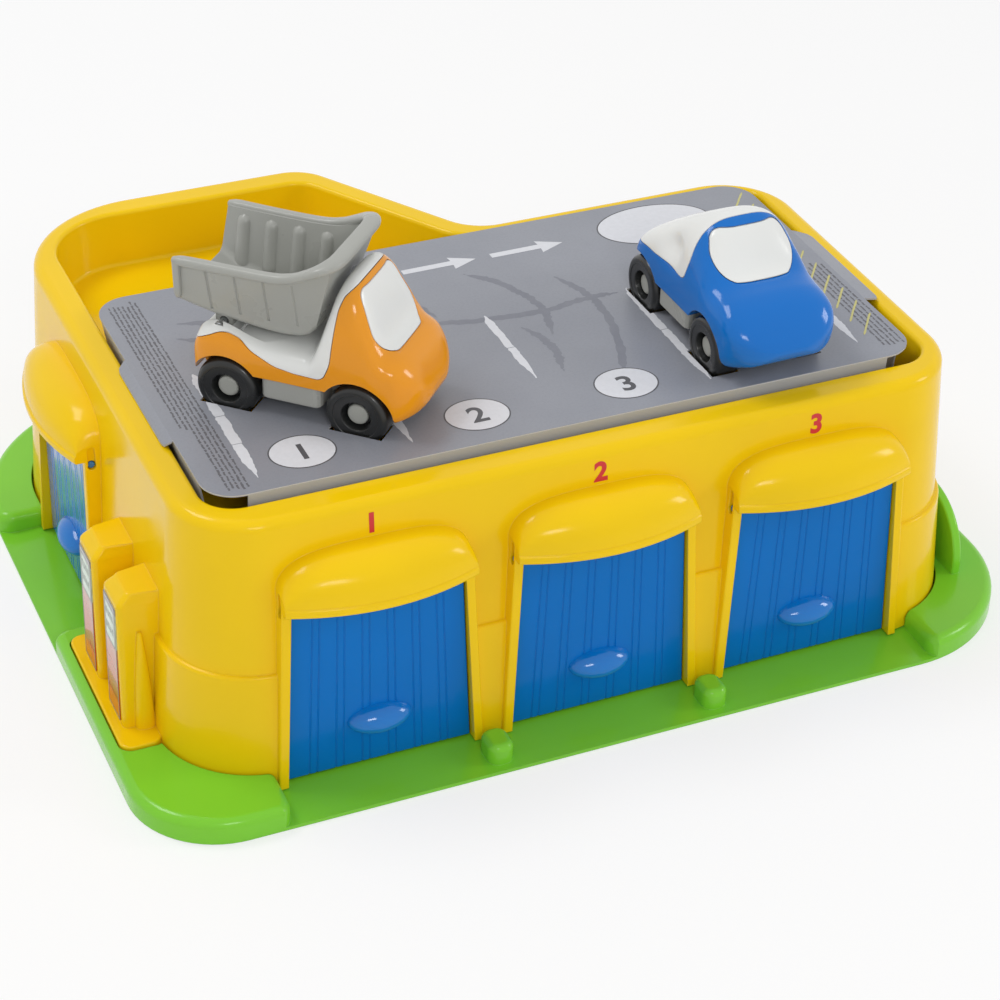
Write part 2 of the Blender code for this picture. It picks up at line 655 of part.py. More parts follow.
def nozzle_ridge():
    """The tapered ridge on the side of a pump that stands for its hose and nozzle."""
    rings = []
    side = -PUMP_WIDTH / 2
    for z, half, proud in ((ISLAND_TOP - 1.0, 4.2, 3.2), (30.0, 3.4, 2.8), (46.0, 2.2, 2.2), (58.0, 0.9, 0.8)):
        ring = [(-half, side + 2.0), (-half * 0.8, side - proud * 0.6), (-half * 0.3, side - proud),
                (half * 0.3, side - proud), (half * 0.8, side - proud * 0.6), (half, side + 2.0)]
        rings.append([(x + PUMP_FACE + PUMP_WIDTH * 0.4, y, z) for x, y in ring])
    return loft(rings)


def bosses():
    """Where the screws from below bite: (x, y) just behind the walls."""
    behind = WALL + DRAFT * BOSS_HEIGHT + BOSS_RADIUS * 0.6
    between = FRONT_DOOR_FIRST + FRONT_DOOR_PITCH / 2
    return [(between, SHELL_FRONT + behind), (between + FRONT_DOOR_PITCH, SHELL_FRONT + behind),
            (between + 1.4 * FRONT_DOOR_PITCH, SHELL_BACK - behind),
            (SHELL_LEFT + 1.5 * SHELL_BAY_LEFT, SHELL_REACH - behind)]


def at_bosses(*profile):
    return joined(*[moved(turned(list(profile), 16), x, y) for x, y in bosses()])


def garage_shell():
    screw_top = SHELL_FOOT + SCREW_LENGTH
    recesses = [moved(slot_recess(side), x, y, 0, turn) for _, x, y, turn in DOORWAYS for side in (-1, 1)]
    bore = SCREW_RADIUS + CLEARANCE
    return combined(shell_body(), [
        ("fuse", at_doorways(doorway_block)),
        ("fuse", at_doorways(canopy)),
        ("fuse", at_bosses((0, SHELL_FOOT), (BOSS_RADIUS, SHELL_FOOT), (BOSS_RADIUS, BOSS_HEIGHT),
                           (0, BOSS_HEIGHT))),
        ("cut", at_doorways(doorway_opening)),
        ("cut", at_doorways(canopy_hollow)),
        ("cut", at_doorways(hinge_holes)),
        ("cut", joined(*recesses)),
        ("fuse", island(0, [(0, SHELL_FOOT), (0.2, ISLAND_TOP - 0.8), (0.9, ISLAND_TOP)])),
        ("fuse", joined(*[moved(pump(), 0, pump_place(k)) for k in range(2)])),
        ("fuse", joined(*[moved(nozzle_ridge(), 0, pump_place(k)) for k in range(2)])),
        ("cut", at_bosses((0, 0), (bore, 0), (bore, screw_top), (0, screw_top)))])


def driveway_cutter(start, end, depth):
    """Takes the pavement away in front of doors, leaving rounded ends; the edge of the base is at y = 0."""
    r, f = DRIVEWAY_END_RADIUS, DRIVEWAY_END_RADIUS + 2.0
    corners = [(start - f, -20, 1, 1), (end + f, -20, 1, 1), (end + f, -1, 0.1, 1), (end, -1, r, 4),
               (end, depth, 1, 1), (start, depth, 1, 1), (start, -1, r, 4), (start - f, -1, 0.1, 1)]
    fall = (SLAB_TOP - DRIVEWAY_LIP) / SHELL_FRONT
    rings = [[(x, y, SLAB_TOP - fall * max(0.0, SHELL_FRONT - y)) for x, y in filleted(corners)]]
    for k in range(4):
        a = math.pi / 2 * k / 3
        inset = -PAVEMENT_EDGE * (1 - math.cos(a))
        rings.append(ring_at(filleted(corners, inset), PAVEMENT_TOP - PAVEMENT_EDGE * (1 - math.sin(a))))
    rings.append(ring_at(filleted(corners, -PAVEMENT_EDGE), PAVEMENT_TOP + 10))
    return loft(rings)


def side_driveway_cutter():
    """The same in front of the side door, on the left side of the base."""
    cutter = driveway_cutter(-SIDE_DRIVEWAY_HALF, SIDE_DRIVEWAY_HALF, SHELL_LEFT + 12.0)
    return moved(cutter, 0, SIDE_DOOR_CENTRE, 0, -90)


def kerb():
    """A rounded block between two driveways."""
    r = PAVEMENT_EDGE - 1
    levels = [(0, DRIVEWAY_LIP / 2), (0, KERB_TOP - r)]
    levels += [(r * (1 - math.cos(a)), KERB_TOP - r * (1 - math.sin(a)))
               for a in (math.pi / 6, math.pi / 3, math.pi / 2)]
    return rounded_box(-KERB_WIDTH / 2, KERB_WIDTH / 2, -KERB_DEPTH / 2, KERB_DEPTH / 2, 4.5, levels, 3)


def half_disc(radius, drop, x0, x1):
    """An upright arch shape between two planes across X."""
    centre_z = PAVEMENT_TOP + ARCH_SPRING
    points = [(ARCH_CENTRE - radius, centre_z - drop)]
    for i in range(15):
        a = math.pi * (1 - i / 14)
        points.append((ARCH_CENTRE + radius * math.cos(a), centre_z + radius * math.sin(a)))
    points.append((ARCH_CENTRE + radius, centre_z - drop))
    return loft([[(x0, y, z) for y, z in points], [(x1, y, z) for y, z in points]])


def arch_kerb():
    """The arched panel with a thick rim that stands on the pavement beside the right wall."""
    near = SHELL_RIGHT + ARCH_GAP
    panel = half_disc(ARCH_RADIUS, ARCH_SPRING + 1.0, near, near + ARCH_THICKNESS)
    recess = half_disc(ARCH_RADIUS - ARCH_RIM, ARCH_SPRING - 1.0, near + ARCH_PANEL, near + ARCH_THICKNESS + 2)
    return combined(panel, [("cut", recess)])


def underside_groove():
    """The hollow under the raised pavement, one wall inside all its faces."""
    w = PAVEMENT_WALL
    top = PAVEMENT_TOP - w
    ring = pad(BASE_PLAN, [(w, -1), (w + 0.6, top)])
    return combined(ring, [
        ("cut", pad(SHELL_PLAN, [(-CLEARANCE - w, -2), (-CLEARANCE - w, PAVEMENT_TOP)])),
        ("cut", box(DRIVEWAY_START - w - 3, DRIVEWAY_END + w + 3, -5, SHELL_FRONT + 15, -3, PAVEMENT_TOP)),
        ("cut", box(-5, SHELL_LEFT + 15, SIDE_DOOR_CENTRE - SIDE_DRIVEWAY_HALF - w - 3,
                    SIDE_DOOR_CENTRE + SIDE_DRIVEWAY_HALF + w + 3, -3, PAVEMENT_TOP)),
        ("cut", box(-5, SHELL_LEFT + 15, ISLAND_START - ISLAND_GAP - w, ISLAND_END + 20, -3, PAVEMENT_TOP))])


def base_plate():
    r = PAVEMENT_EDGE
    edge = [(r * (1 - math.cos(a)), PAVEMENT_TOP - r * (1 - math.sin(a)))
            for a in (0, math.pi / 6, math.pi / 3, math.pi / 2)]
    head = SCREW_HEAD_RADIUS + CLEARANCE
    bore = SCREW_RADIUS + CLEARANCE
    depth = SCREW_HEAD_HEIGHT + CLEARANCE
    kerbs = [moved(kerb(), FRONT_DOOR_FIRST + (k + 0.5) * FRONT_DOOR_PITCH - KERB_SHIFT, KERB_FROM_EDGE)
             for k in range(2)]
    return combined(pad(BASE_PLAN, [(0.6, 0), (0, 0.6)] + edge), [
        ("cut", pad(SHELL_PLAN, [(-CLEARANCE, SLAB_TOP), (-CLEARANCE, PAVEMENT_TOP + 5)])),
        ("cut", island(ISLAND_GAP, [(0, SLAB_TOP), (0, PAVEMENT_TOP + 5)])),
        ("cut", driveway_cutter(DRIVEWAY_START, DRIVEWAY_END, SHELL_FRONT + 12.0)),
        ("cut", side_driveway_cutter()),
        ("fuse", joined(*kerbs)),
        ("fuse", arch_kerb()),
        ("cut", underside_groove()),
        ("cut", at_bosses((0, -2), (head, -2), (head, depth), (bore, depth), (bore, 6), (0, 6)))])


def screw():
    """Pan head below, shank up; its frame stands on the underside of the base."""
    under = CLEARANCE + SCREW_HEAD_HEIGHT - 0.3
    return turned([(0, CLEARANCE), (SCREW_HEAD_RADIUS - 0.6, CLEARANCE), (SCREW_HEAD_RADIUS, CLEARANCE + 0.6),
                   (SCREW_HEAD_RADIUS, under), (SCREW_RADIUS, under), (SCREW_RADIUS, SCREW_LENGTH),
                   (0, SCREW_LENGTH + 1.2)], 12)


def door():
    """A planked panel hung from two pins, in a frame whose origin is on the pin axis."""
    foot = SHELL_FOOT + DOOR_FOOT_GAP - HINGE_HEIGHT
    face = -DOOR_THICKNESS / 2
    lean = (DOOR_FOOT_WIDTH - DOOR_TOP_WIDTH) / 2 / (LIP_HEIGHT - SLAB_TOP)

    def half(z):
        return door_half(z + HINGE_HEIGHT) - DOOR_SIDE_GAP

    panel = loft([[(-half(z), face, z), (half(z), face, z), (half(z), -face, z), (-half(z), -face, z)]
                  for z in (foot, DOOR_HEAD)])
    pins = []
    for side in (-1, 1):
        middle = side * (half(0) + PIN_REACH / 2 - 1.5)
        pins.append(moved(rod(PIN_RADIUS, PIN_REACH / 2 + 1.5, 16, "X"), middle))
    grooves = []
    for k in range(1, PLANKS):
        for shift in (-1.6 * GROOVE_WIDTH, 1.6 * GROOVE_WIDTH):
            x = 2 * half(foot) * (k / PLANKS - 0.5) + shift
            taper = lean * x / half(foot)
            rings = []
            for z in (foot - 1, DOOR_HEAD + 1):
                c = x - taper * (z - foot)
                rings.append([(c - GROOVE_WIDTH / 2, face - 1, z), (c + GROOVE_WIDTH / 2, face - 1, z),
                              (c, face + GROOVE_DEPTH, z)])
            grooves.append(loft(rings))
    handle = []
    for i in range(4):
        a = math.pi / 2 * i / 3.4
        ring = []
        for j in range(12):
            b = 2 * math.pi * j / 12
            ring.append((HANDLE_WIDTH / 2 * math.cos(a) * math.cos(b),
                         face + 1.0 - (HANDLE_REACH + 1.0) * math.sin(a),
                         foot + HANDLE_LEVEL + HANDLE_HEIGHT / 2 * math.cos(a) * math.sin(b)))
        handle.append(ring)
    return combined(panel, [("cut", joined(*grooves)), ("fuse", joined(*pins)), ("fuse", loft(handle))])


def pump_label():
    """A printed label on the face of a pump, parallel to the leaning face."""
    lean = PUMP_LEAN / (PUMP_TOP - SHELL_FOOT)
    half = PUMP_WIDTH / 2 - LABEL_MARGIN - PUMP_LEAN
    rings = []
    for z in (LABEL_FOOT, PUMP_TOP - PUMP_CHAMFER - LABEL_HEAD):
        back = PUMP_FACE + lean * (z - SHELL_FOOT) - 0.05
        rings.append([(back - LABEL_THICKNESS, half, z), (back - LABEL_THICKNESS, -half, z),
                      (back, -half, z), (back, half, z)])
    return loft(rings)


# Parking card

def vehicle_centre(at, heading):
    """Middle of a vehicle at hub height, from the midpoint between the hubs on its right side."""
    turn = Matrix.Rotation(math.radians(heading), 3, "Z")
    near = Vector((at[0], at[1], CARD_TOP - WHEEL_SINK + WHEEL_RADIUS))
    return near + turn @ Vector((0, HUB_TRACK / 2, 0))


def wheel_slots(at, heading):
    """The four holes that a vehicle's wheels sink into."""
    centre = vehicle_centre(at, heading)
    reach = math.sqrt(WHEEL_RADIUS ** 2 - (WHEEL_RADIUS - WHEEL_SINK) ** 2) + SLOT_MARGIN
    half = WHEEL_WIDTH / 2 + SLOT_MARGIN
    cuts = []
    for side in (-1, 1):
        for end in (-1, 1):
            x, y = end * WHEEL_BASE / 2, side * (WHEEL_TRACK - WHEEL_WIDTH) / 2
            slot = box(x - reach, x + reach, y - half, y + half, CARD_TOP - CARD_FAR, CARD_TOP + CARD_FAR)
            cuts.append(moved(slot, centre.x, centre.y, 0, heading))
    return joined(*cuts)


def parking_card():
    """A folded card tray: the printed deck, four flaps down into the well and two tabs over the rim."""
    left, right = WELL_LEFT + CARD_LEFT_GAP, WELL_RIGHT - CARD_RIGHT_GAP
    front, back = WELL_FRONT + CARD_FRONT_GAP, WELL_BACK - CARD_BACK_GAP
    t = CARD_THICKNESS
    under = CARD_TOP - t
    deck = rounded_box(left, right, front, back, CARD_CORNER, [(0, under), (0, CARD_TOP)], 5)
    foot = WELL_FLOOR + CLEARANCE
    lean = WELL_DRAFT + 0.8 * WELL_FLOOR_ROUND
    rest = RIM_HEIGHT + CLEARANCE

    def tab(edge, reach):
        points = [(edge, under), (edge + reach, rest), (edge + reach, rest + t), (edge, CARD_TOP)]
        points += [(edge - 0.3 * reach, CARD_TOP - 0.1), (edge - 0.3 * reach, under + 0.1)]
        return loft([[(x, y, z) for x, z in points] for y in (TAB_START, TAB_END)])

    def flap(x0, y0, x1, y1, dx, dy):
        ring = [(x0, y0), (x1, y0), (x1, y1), (x0, y1)]
        return loft([ring_at([(x + dx * lean, y + dy * lean) for x, y in ring], foot), ring_at(ring, under + 0.4)])

    c = CARD_CORNER
    flaps = joined(flap(left + c, front, right - c, front + t, 0, 1),
                   flap(left + c, back - t, right - c, back, 0, -1),
                   flap(left, front + c, left + t, back - c, 1, 0),
                   flap(right - t, front + c, right, back - c, -1, 0))
    return combined(deck, [("fuse", joined(tab(left, -TAB_LEFT_REACH), tab(right, TAB_RIGHT_REACH))),
                           ("fuse", flaps),
                           ("cut", wheel_slots(TRUCK_AT, TRUCK_HEADING)),
                           ("cut", wheel_slots(CAR_AT, CAR_HEADING))])


# Vehicles

def wheel():
    """A tyre with a rounded tread and a recessed outer face; its frame has the outer face at z = 0."""
    w, r = WHEEL_WIDTH, WHEEL_RADIUS
    bore = AXLE_RADIUS + CLEARANCE
    seat = -(WHEEL_TRACK - HUB_TRACK) / 2 - HUB_THICKNESS - CLEARANCE
    e = TYRE_EDGE
    return turned([(bore, -w), (r - 0.6 * e, -w), (r, 0.8 * e - w), (r, -e), (r - 0.3 * e, -0.4 * e), (r - e, 0),
                   (HUB_RECESS, -0.6), (HUB_RECESS - 0.6, seat), (bore, seat)], 20)


def axle():
    """A rod across the vehicle with a round hub in each wheel."""
    end = HUB_TRACK / 2
    inner = end - HUB_THICKNESS
    return turned([(0, -end), (HUB_RADIUS - 0.5, -end), (HUB_RADIUS, -end + 0.5), (HUB_RADIUS, -inner),
                   (AXLE_RADIUS, -inner), (AXLE_RADIUS, inner), (HUB_RADIUS, inner), (HUB_RADIUS, end - 0.5),
                   (HUB_RADIUS - 0.5, end), (0, end)], 12, "Y")


def between_arches(margin, half, z0, z1, radius=3.0):
    """A block between the front and rear wheel arches."""
    reach = WHEEL_BASE / 2 - WHEEL_RADIUS - ARCH_CLEARANCE - margin
    return rounded_box(-reach, reach, -half, half, radius, [(0.8, z0), (0, z0 + 0.8), (0, z1)], 3)


def chassis(tail, nose, sill_top):
    """The undertray with its side sills and the two axle bores."""
    tray = rounded_box(tail, nose, -TRAY_HALF_WIDTH, TRAY_HALF_WIDTH, 5.0,
                       [(0.8, TRAY_BOTTOM), (0, TRAY_BOTTOM + 0.8), (0, sill_top - CLEARANCE)], 3)
    bore = AXLE_RADIUS + CLEARANCE
    bores = [moved(rod(bore, TRUCK_HALF_WIDTH, 16, "Y"), end * WHEEL_BASE / 2) for end in (-1, 1)]
    return combined(tray, [
        ("fuse", between_arches(-0.5, SILL_HALF_WIDTH, SILL_BOTTOM, sill_top - CLEARANCE - 0.02)),
        ("cut", joined(*bores))])


def curve_through(keys, x):
    """Smooth value at x through (x, value) keys."""
    if x <= keys[0][0]:
        return keys[0][1]
    for k in range(len(keys) - 1):
        (x0, v0), (x1, v1) = keys[k], keys[k + 1]
        if x <= x1:
            before, after = keys[max(0, k - 1)], keys[min(len(keys) - 1, k + 2)]
            m0 = (v1 - before[1]) / (x1 - before[0])
            m1 = (after[1] - v0) / (after[0] - x0)
            t, span = (x - x0) / (x1 - x0), x1 - x0
            return ((2 * t ** 3 - 3 * t ** 2 + 1) * v0 + (t ** 3 - 2 * t ** 2 + t) * span * m0
                    + (-2 * t ** 3 + 3 * t ** 2) * v1 + (t ** 3 - t ** 2) * span * m1)
    return keys[-1][1]


def hull(stations, top_keys, low_keys, width_keys, roof_share, belt, power):
    """A car body lofted along X from its top, bottom and half-width curves; it narrows above the belt."""
    count = 10
    rings = []
    for x in stations:
        high, low, half = curve_through(top_keys, x), curve_through(low_keys, x), curve_through(width_keys, x)
        shoulder = min(belt, low + 0.5 * (high - low))
        roof = 1 - (1 - roof_share) * min(1.0, max(0.0, (high - belt - 6) / 20))
        ring = [(x, -half * 0.97, low), (x, half * 0.97, low)]
        for i in range(count + 1):
            a = math.pi * i / count
            rise = math.sin(a) ** (2 / power) if 0 < i < count else 0.0
            spread = math.copysign(abs(math.cos(a)) ** (2 / power), math.cos(a))
            y = half * (1 - (1 - roof) * rise ** 1.4) * spread
            ring.append((x, y, shoulder + (high - shoulder) * rise))
        rings.append(ring)
    return loft(rings)


def side_prism(points, half=BEYOND):
    """Extrude an outline drawn in side view (x, z) right across the vehicle."""
    return loft([[(x, -half, z) for x, z in points], [(x, half, z) for x, z in points]])


def screen(look, grow):
    """A windscreen's block: its rounded outline, drawn in front view, run forward out of the body."""
    base, top, half_base, half_top, start = look
    r = SCREEN_CORNER
    corners = [(-half_base, base, r, 4), (half_base, base, r, 4), (half_top, top, r, 4), (-half_top, top, r, 4)]
    outline = filleted(corners, -grow)
    return loft([[(start, y, z) for y, z in outline], [(BEYOND, y, z) for y, z in outline]])


def white_side(low, front, grow):
    """Side view of what is moulded in white: above the low line, behind the front line."""
    corner_x, corner_z = front[0]
    outline = [(-BEYOND, BEYOND), (-BEYOND, low[0][1] - grow)] + [(x, z - grow) for x, z in low]
    outline += [(corner_x + grow, corner_z - grow)] + [(x + grow, z) for x, z in front[1:]]
    return side_prism(outline)


def wheel_arches():
    radius = WHEEL_RADIUS + ARCH_CLEARANCE
    inner = TRAY_HALF_WIDTH - 1.0
    outer = TRUCK_HALF_WIDTH + 10.0
    cuts = []
    for end in (-1, 1):
        for side in (-1, 1):
            arch = rod(radius, (outer - inner) / 2, 24, "Y")
            cuts.append(moved(arch, end * WHEEL_BASE / 2, side * (outer + inner) / 2))
    return joined(*cuts)


def chassis_room(tail, nose, sill_top):
    """What a body leaves free for its chassis."""
    half = TRAY_HALF_WIDTH + CLEARANCE
    tray = box(tail - CLEARANCE, nose + CLEARANCE, -half, half, -BEYOND, sill_top)
    return [("cut", tray), ("cut", between_arches(-3.0, BEYOND, -BEYOND, sill_top - 0.02, 0.5))]


def truck_hull():
    return hull(TRUCK_STATIONS, TRUCK_TOP, TRUCK_LOW, TRUCK_WIDTH, 0.80, TRUCK_BELT, 4.0)


def truck_white(grow):
    """The deck, the hinge's bed inside it, the back of the cab and the windscreen."""
    front, half, foot = TRUCK_WHITE_CORE
    core = box(-BEYOND, front + grow, -half - grow, half + grow, foot - grow, BEYOND)
    return combined(white_side(TRUCK_WHITE_LOW, TRUCK_WHITE_FRONT, grow), [
        ("fuse", core), ("fuse", screen(TRUCK_SCREEN, grow))])


def truck_shell():
    return combined(truck_hull(), [
        ("cut", wheel_arches()), *chassis_room(*TRUCK_TRAY, TRUCK_SILL_TOP), ("cut", truck_white(CLEARANCE))])


def truck_body():
    """The white moulding: deck with the tipper's hinge, back of the cab and the windscreen."""
    x, z = TIP_PIVOT
    deep, shallow = DECK_HEIGHT - 1.5 * TIP_CHANNEL_DEPTH, DECK_HEIGHT - TIP_CHANNEL_DEPTH
    wide, narrow = 2 * TIP_LUG_RADIUS, 1.25 * TIP_LUG_RADIUS
    channel = side_prism([(-BEYOND, BEYOND), (-BEYOND, deep), (x - wide, deep), (x - narrow, shallow),
                          (x + narrow, shallow), (x + wide, DECK_HEIGHT)] + CAB_BACK, TIP_CHANNEL)
    hole = moved(rod(TIP_PIN_RADIUS + CLEARANCE, TIP_PIN_HALF + CLEARANCE, 16, "Y"), x, 0, z)
    return combined(truck_hull(), [
        ("keep", truck_white(0.0)), ("cut", wheel_arches()), *chassis_room(*TRUCK_TRAY, TRUCK_SILL_TOP),
        ("cut", channel), ("cut", hole)])


def trough(sections, wall, rise):
    """Open-topped sections along X; with a wall they are the hollow, which also rises past the rim."""
    rings = []
    over, up = BED_BEND
    for xf, xr, floor, rim, hf, hr in sections:
        slope = (hr - hf - over) / (rim - floor - up)
        floor, rim, hf, hr = floor + wall, rim + rise, hf - wall, hr - wall + slope * (rise - wall)
        rings.append([(xr, -hr, rim), (xf, -hf - over, floor + up), (xf, -hf, floor),
                      (xf, hf, floor), (xf, hf + over, floor + up), (xr, hr, rim)])
    return loft(rings)


def wall_at(share, side, proud):
    """A point's (y, z) on the side wall of the tipper, from its foot (0) to its rim (1)."""
    (y0, z0), (y1, z1) = BED_SIDE
    return side * (y0 + proud + (y1 - y0) * share), z0 + (z1 - z0) * share


def bed_rib(x, side):
    """A tapered rib up the inside of the side wall."""
    rings = []
    for share, half in ((0.2, 0.8 * BED_RIB_HALF), (0.86, BED_RIB_HALF)):
        y0, z = wall_at(share, side, -BED_WALL / 2)
        y1, _ = wall_at(share, side, -BED_WALL - BED_RIB_PROUD)
        rings.append([(x - half, y0, z), (x + half, y0, z), (x + half * 0.6, y1, z), (x - half * 0.6, y1, z)])
    return loft(rings)


def bed_crease(x, side):
    """A shallow upright groove outside, ahead of each rib."""
    rings = []
    for share in (0.1, 0.88):
        y0, z = wall_at(share, side, 1.5)
        y1, _ = wall_at(share, side, -0.5)
        rings.append([(x - BED_CREASE_HALF, y0, z), (x + BED_CREASE_HALF, y0, z), (x, y1, z)])
    return loft(rings)


def bed_rail():
    """The thick rolled rim: up one side, across the raised front and back along the other side."""
    path = BED_RAIL + [(x, -y, z) for x, y, z in reversed(BED_RAIL)]
    rings = []
    for k, (x, y, z) in enumerate(path):
        before, after = path[max(0, k - 1)], path[min(len(path) - 1, k + 1)]
        along = Vector((after[0] - before[0], after[1] - before[1])).normalized()
        rings.append([(x - along.y * out, y + along.x * out, z + up) for out, up in BED_RAIL_SECTION])
    return loft(rings)


def bed_flange(side):
    """The thick edge of a side wall at the open tail."""
    long, deep = BED_FLANGE_SIZE
    return loft([[(x, side * y, z), (x + long, side * y, z), (x + long, side * (y + deep), z),
                  (x, side * (y + deep), z)] for x, y, z in BED_FLANGE])


def tipper_bed():
    """The trough: sides with ribs, an open tail, a leaning front wall and a rail round the top."""
    x, z = TIP_PIVOT
    root = z + TIP_LUG_RADIUS + BED_WALL / 4
    foot = [(x + TIP_LUG_RADIUS * math.cos(a), z + TIP_LUG_RADIUS * math.sin(a))
            for a in [math.pi * (1 + k / 8) for k in range(9)]]
    lug = side_prism([(x - TIP_LUG_RADIUS, root)] + foot + [(x + TIP_LUG_RADIUS, root)], TIP_LUG_HALF)
    places = [(BED_RIB_FIRST + k * BED_RIB_PITCH, side) for k in range(BED_RIBS) for side in (-1, 1)]
    return combined(trough(BED_SECTIONS + [BED_FRONT], 0.0, 0.0), [
        ("cut", trough([BED_TAIL_INSIDE] + BED_SECTIONS + [BED_FRONT_INSIDE], BED_WALL, 12.0)),
        ("fuse", bed_rail()), ("fuse", joined(bed_flange(-1), bed_flange(1))),
        ("fuse", joined(*[bed_rib(at, side) for at, side in places])),
        ("cut", joined(*[bed_crease(at + BED_CREASE_SHIFT, side) for at, side in places])),
        ("fuse", lug),
        ("cut", moved(rod(TIP_PIN_RADIUS + CLEARANCE, BEYOND, 16, "Y"), x, 0, z))])


def car_hull():
    return hull(CAR_STATIONS, CAR_TOP, CAR_LOW, CAR_WIDTH, 0.80, CAR_BELT, 3.4)


def car_white(grow):
    """The upper moulding behind a deep V, and the windscreen."""
    return combined(white_side(CAR_WHITE_LOW, CAR_WHITE_FRONT, grow), [("fuse", screen(CAR_SCREEN, grow))])


def car_shell():
    return combined(car_hull(), [
        ("cut", wheel_arches()), *chassis_room(*CAR_TRAY, CAR_SILL_TOP), ("cut", car_white(CLEARANCE))])


def car_top():
    return combined(car_hull(), [("keep", car_white(0.0)), ("cut", wheel_arches())])


# Assembly

def clear_scene():
    for piece in list(bpy.data.objects):
        bpy.data.objects.remove(piece, do_unlink=True)


def add_wheels(vehicle, frame, rubber, grey):
    """Two axles and four wheels; each axle's frame is on its own spin axis."""
    for end, where in ((1, "front"), (-1, "rear")):
        hub = frame_at(f"{vehicle}_{where}_axis", frame, (end * WHEEL_BASE / 2, 0, 0))
        place(f"{vehicle}_{where}_axle", axle(), grey, hub)
        for side, hand in ((1, "left"), (-1, "right")):
            tyre = place(f"{vehicle}_{where}_{hand}_wheel", wheel(), rubber, hub, (0, side * WHEEL_TRACK / 2, 0))
            tyre.rotation_euler = (math.radians(-90 * side), 0, 0)


def build():
    clear_scene()
    yellow = material("yellow_plastic", (0.93, 0.66, 0.01), 0.28)
    green = material("green_plastic", (0.22, 0.56, 0.04), 0.32)
    blue = material("blue_plastic", (0.01, 0.17, 0.52), 0.3)
    steel = material("screw_steel", (0.55, 0.56, 0.58), 0.3, 1.0)
    card = material("printed_card", (0.27, 0.28, 0.32), 0.6)
    label = material("printed_label", (0.6, 0.12, 0.05), 0.4)
    white = material("white_plastic", (0.86, 0.86, 0.84), 0.3)
    orange = material("orange_plastic", (0.9, 0.33, 0.01), 0.28)
    grey = material("grey_plastic", (0.3, 0.31, 0.3), 0.4)
    rubber = material("black_tyre", (0.012, 0.012, 0.013), 0.45)

    garage = frame_at("garage", None, (-BASE_LENGTH / 2, -BASE_REACH / 2, 0))
    place("base_plate", base_plate(), green, garage)
    place("garage_shell", garage_shell(), yellow, garage)
    for k, (x, y) in enumerate(bosses()):
        place(f"base_screw_{k + 1}", screw(), steel, garage, (x, y, 0))
    for name, x, y, turn in DOORWAYS:
        offset = Matrix.Rotation(math.radians(turn), 3, "Z") @ Vector((0, HINGE_DEPTH, 0))
        axis = frame_at(f"{name}_axis", garage, (x + offset.x, y + offset.y, HINGE_HEIGHT), turn)
        place(name, door(), blue, axis)
    for k, where in enumerate(("front", "rear")):
        place(f"pump_label_{where}", pump_label(), label, garage, (0, pump_place(k), 0))
    place("parking_card", parking_card(), card, garage)

    truck = frame_at("truck", garage, vehicle_centre(TRUCK_AT, TRUCK_HEADING), TRUCK_HEADING)
    place("truck_shell", truck_shell(), orange, truck)
    place("truck_body", truck_body(), white, truck)
    place("truck_chassis", chassis(*TRUCK_TRAY, TRUCK_SILL_TOP), grey, truck)
    place("tipper_bed", tipper_bed(), grey, truck)
    place("tipper_pin", rod(TIP_PIN_RADIUS, TIP_PIN_HALF, 16, "Y"), steel, truck, (TIP_PIVOT[0], 0, TIP_PIVOT[1]))
    add_wheels("truck", truck, rubber, grey)

    car = frame_at("car", garage, vehicle_centre(CAR_AT, CAR_HEADING), CAR_HEADING)
    place("car_shell", car_shell(), blue, car)
    place("car_top", car_top(), white, car)
    place("car_chassis", chassis(*CAR_TRAY, CAR_SILL_TOP), grey, car)
    add_wheels("car", car, rubber, grey)


build()
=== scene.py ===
# Toy garage with a dump truck and a small car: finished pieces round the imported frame
import math
import random

import bmesh
import bpy
from mathutils import Matrix, Vector


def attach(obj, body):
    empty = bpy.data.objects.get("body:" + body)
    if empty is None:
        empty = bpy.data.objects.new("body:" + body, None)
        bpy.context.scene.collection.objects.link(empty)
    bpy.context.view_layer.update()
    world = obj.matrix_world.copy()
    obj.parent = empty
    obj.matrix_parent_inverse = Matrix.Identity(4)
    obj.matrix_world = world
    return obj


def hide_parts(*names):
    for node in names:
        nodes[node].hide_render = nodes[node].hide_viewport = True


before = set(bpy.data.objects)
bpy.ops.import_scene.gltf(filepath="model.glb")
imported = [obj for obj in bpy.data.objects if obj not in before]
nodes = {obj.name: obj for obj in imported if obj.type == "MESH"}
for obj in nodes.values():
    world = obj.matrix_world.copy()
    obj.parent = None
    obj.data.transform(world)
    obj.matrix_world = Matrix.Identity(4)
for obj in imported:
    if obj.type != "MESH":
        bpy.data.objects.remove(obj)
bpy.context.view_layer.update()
print("frame loaded:", len(nodes), "pieces")

mm = 0.001
partOrigin = Vector((-197.75, -160.0, 0.0))   # front left corner of the base, from the row's origin
running = 0.3                                 # gap between pieces that touch or slide

# Camera first

camera = dict(place=(-0.38625, -0.8956, 0.6779), azimuth=-24.0, height=34.1, roll=1.4, lens=95.04)


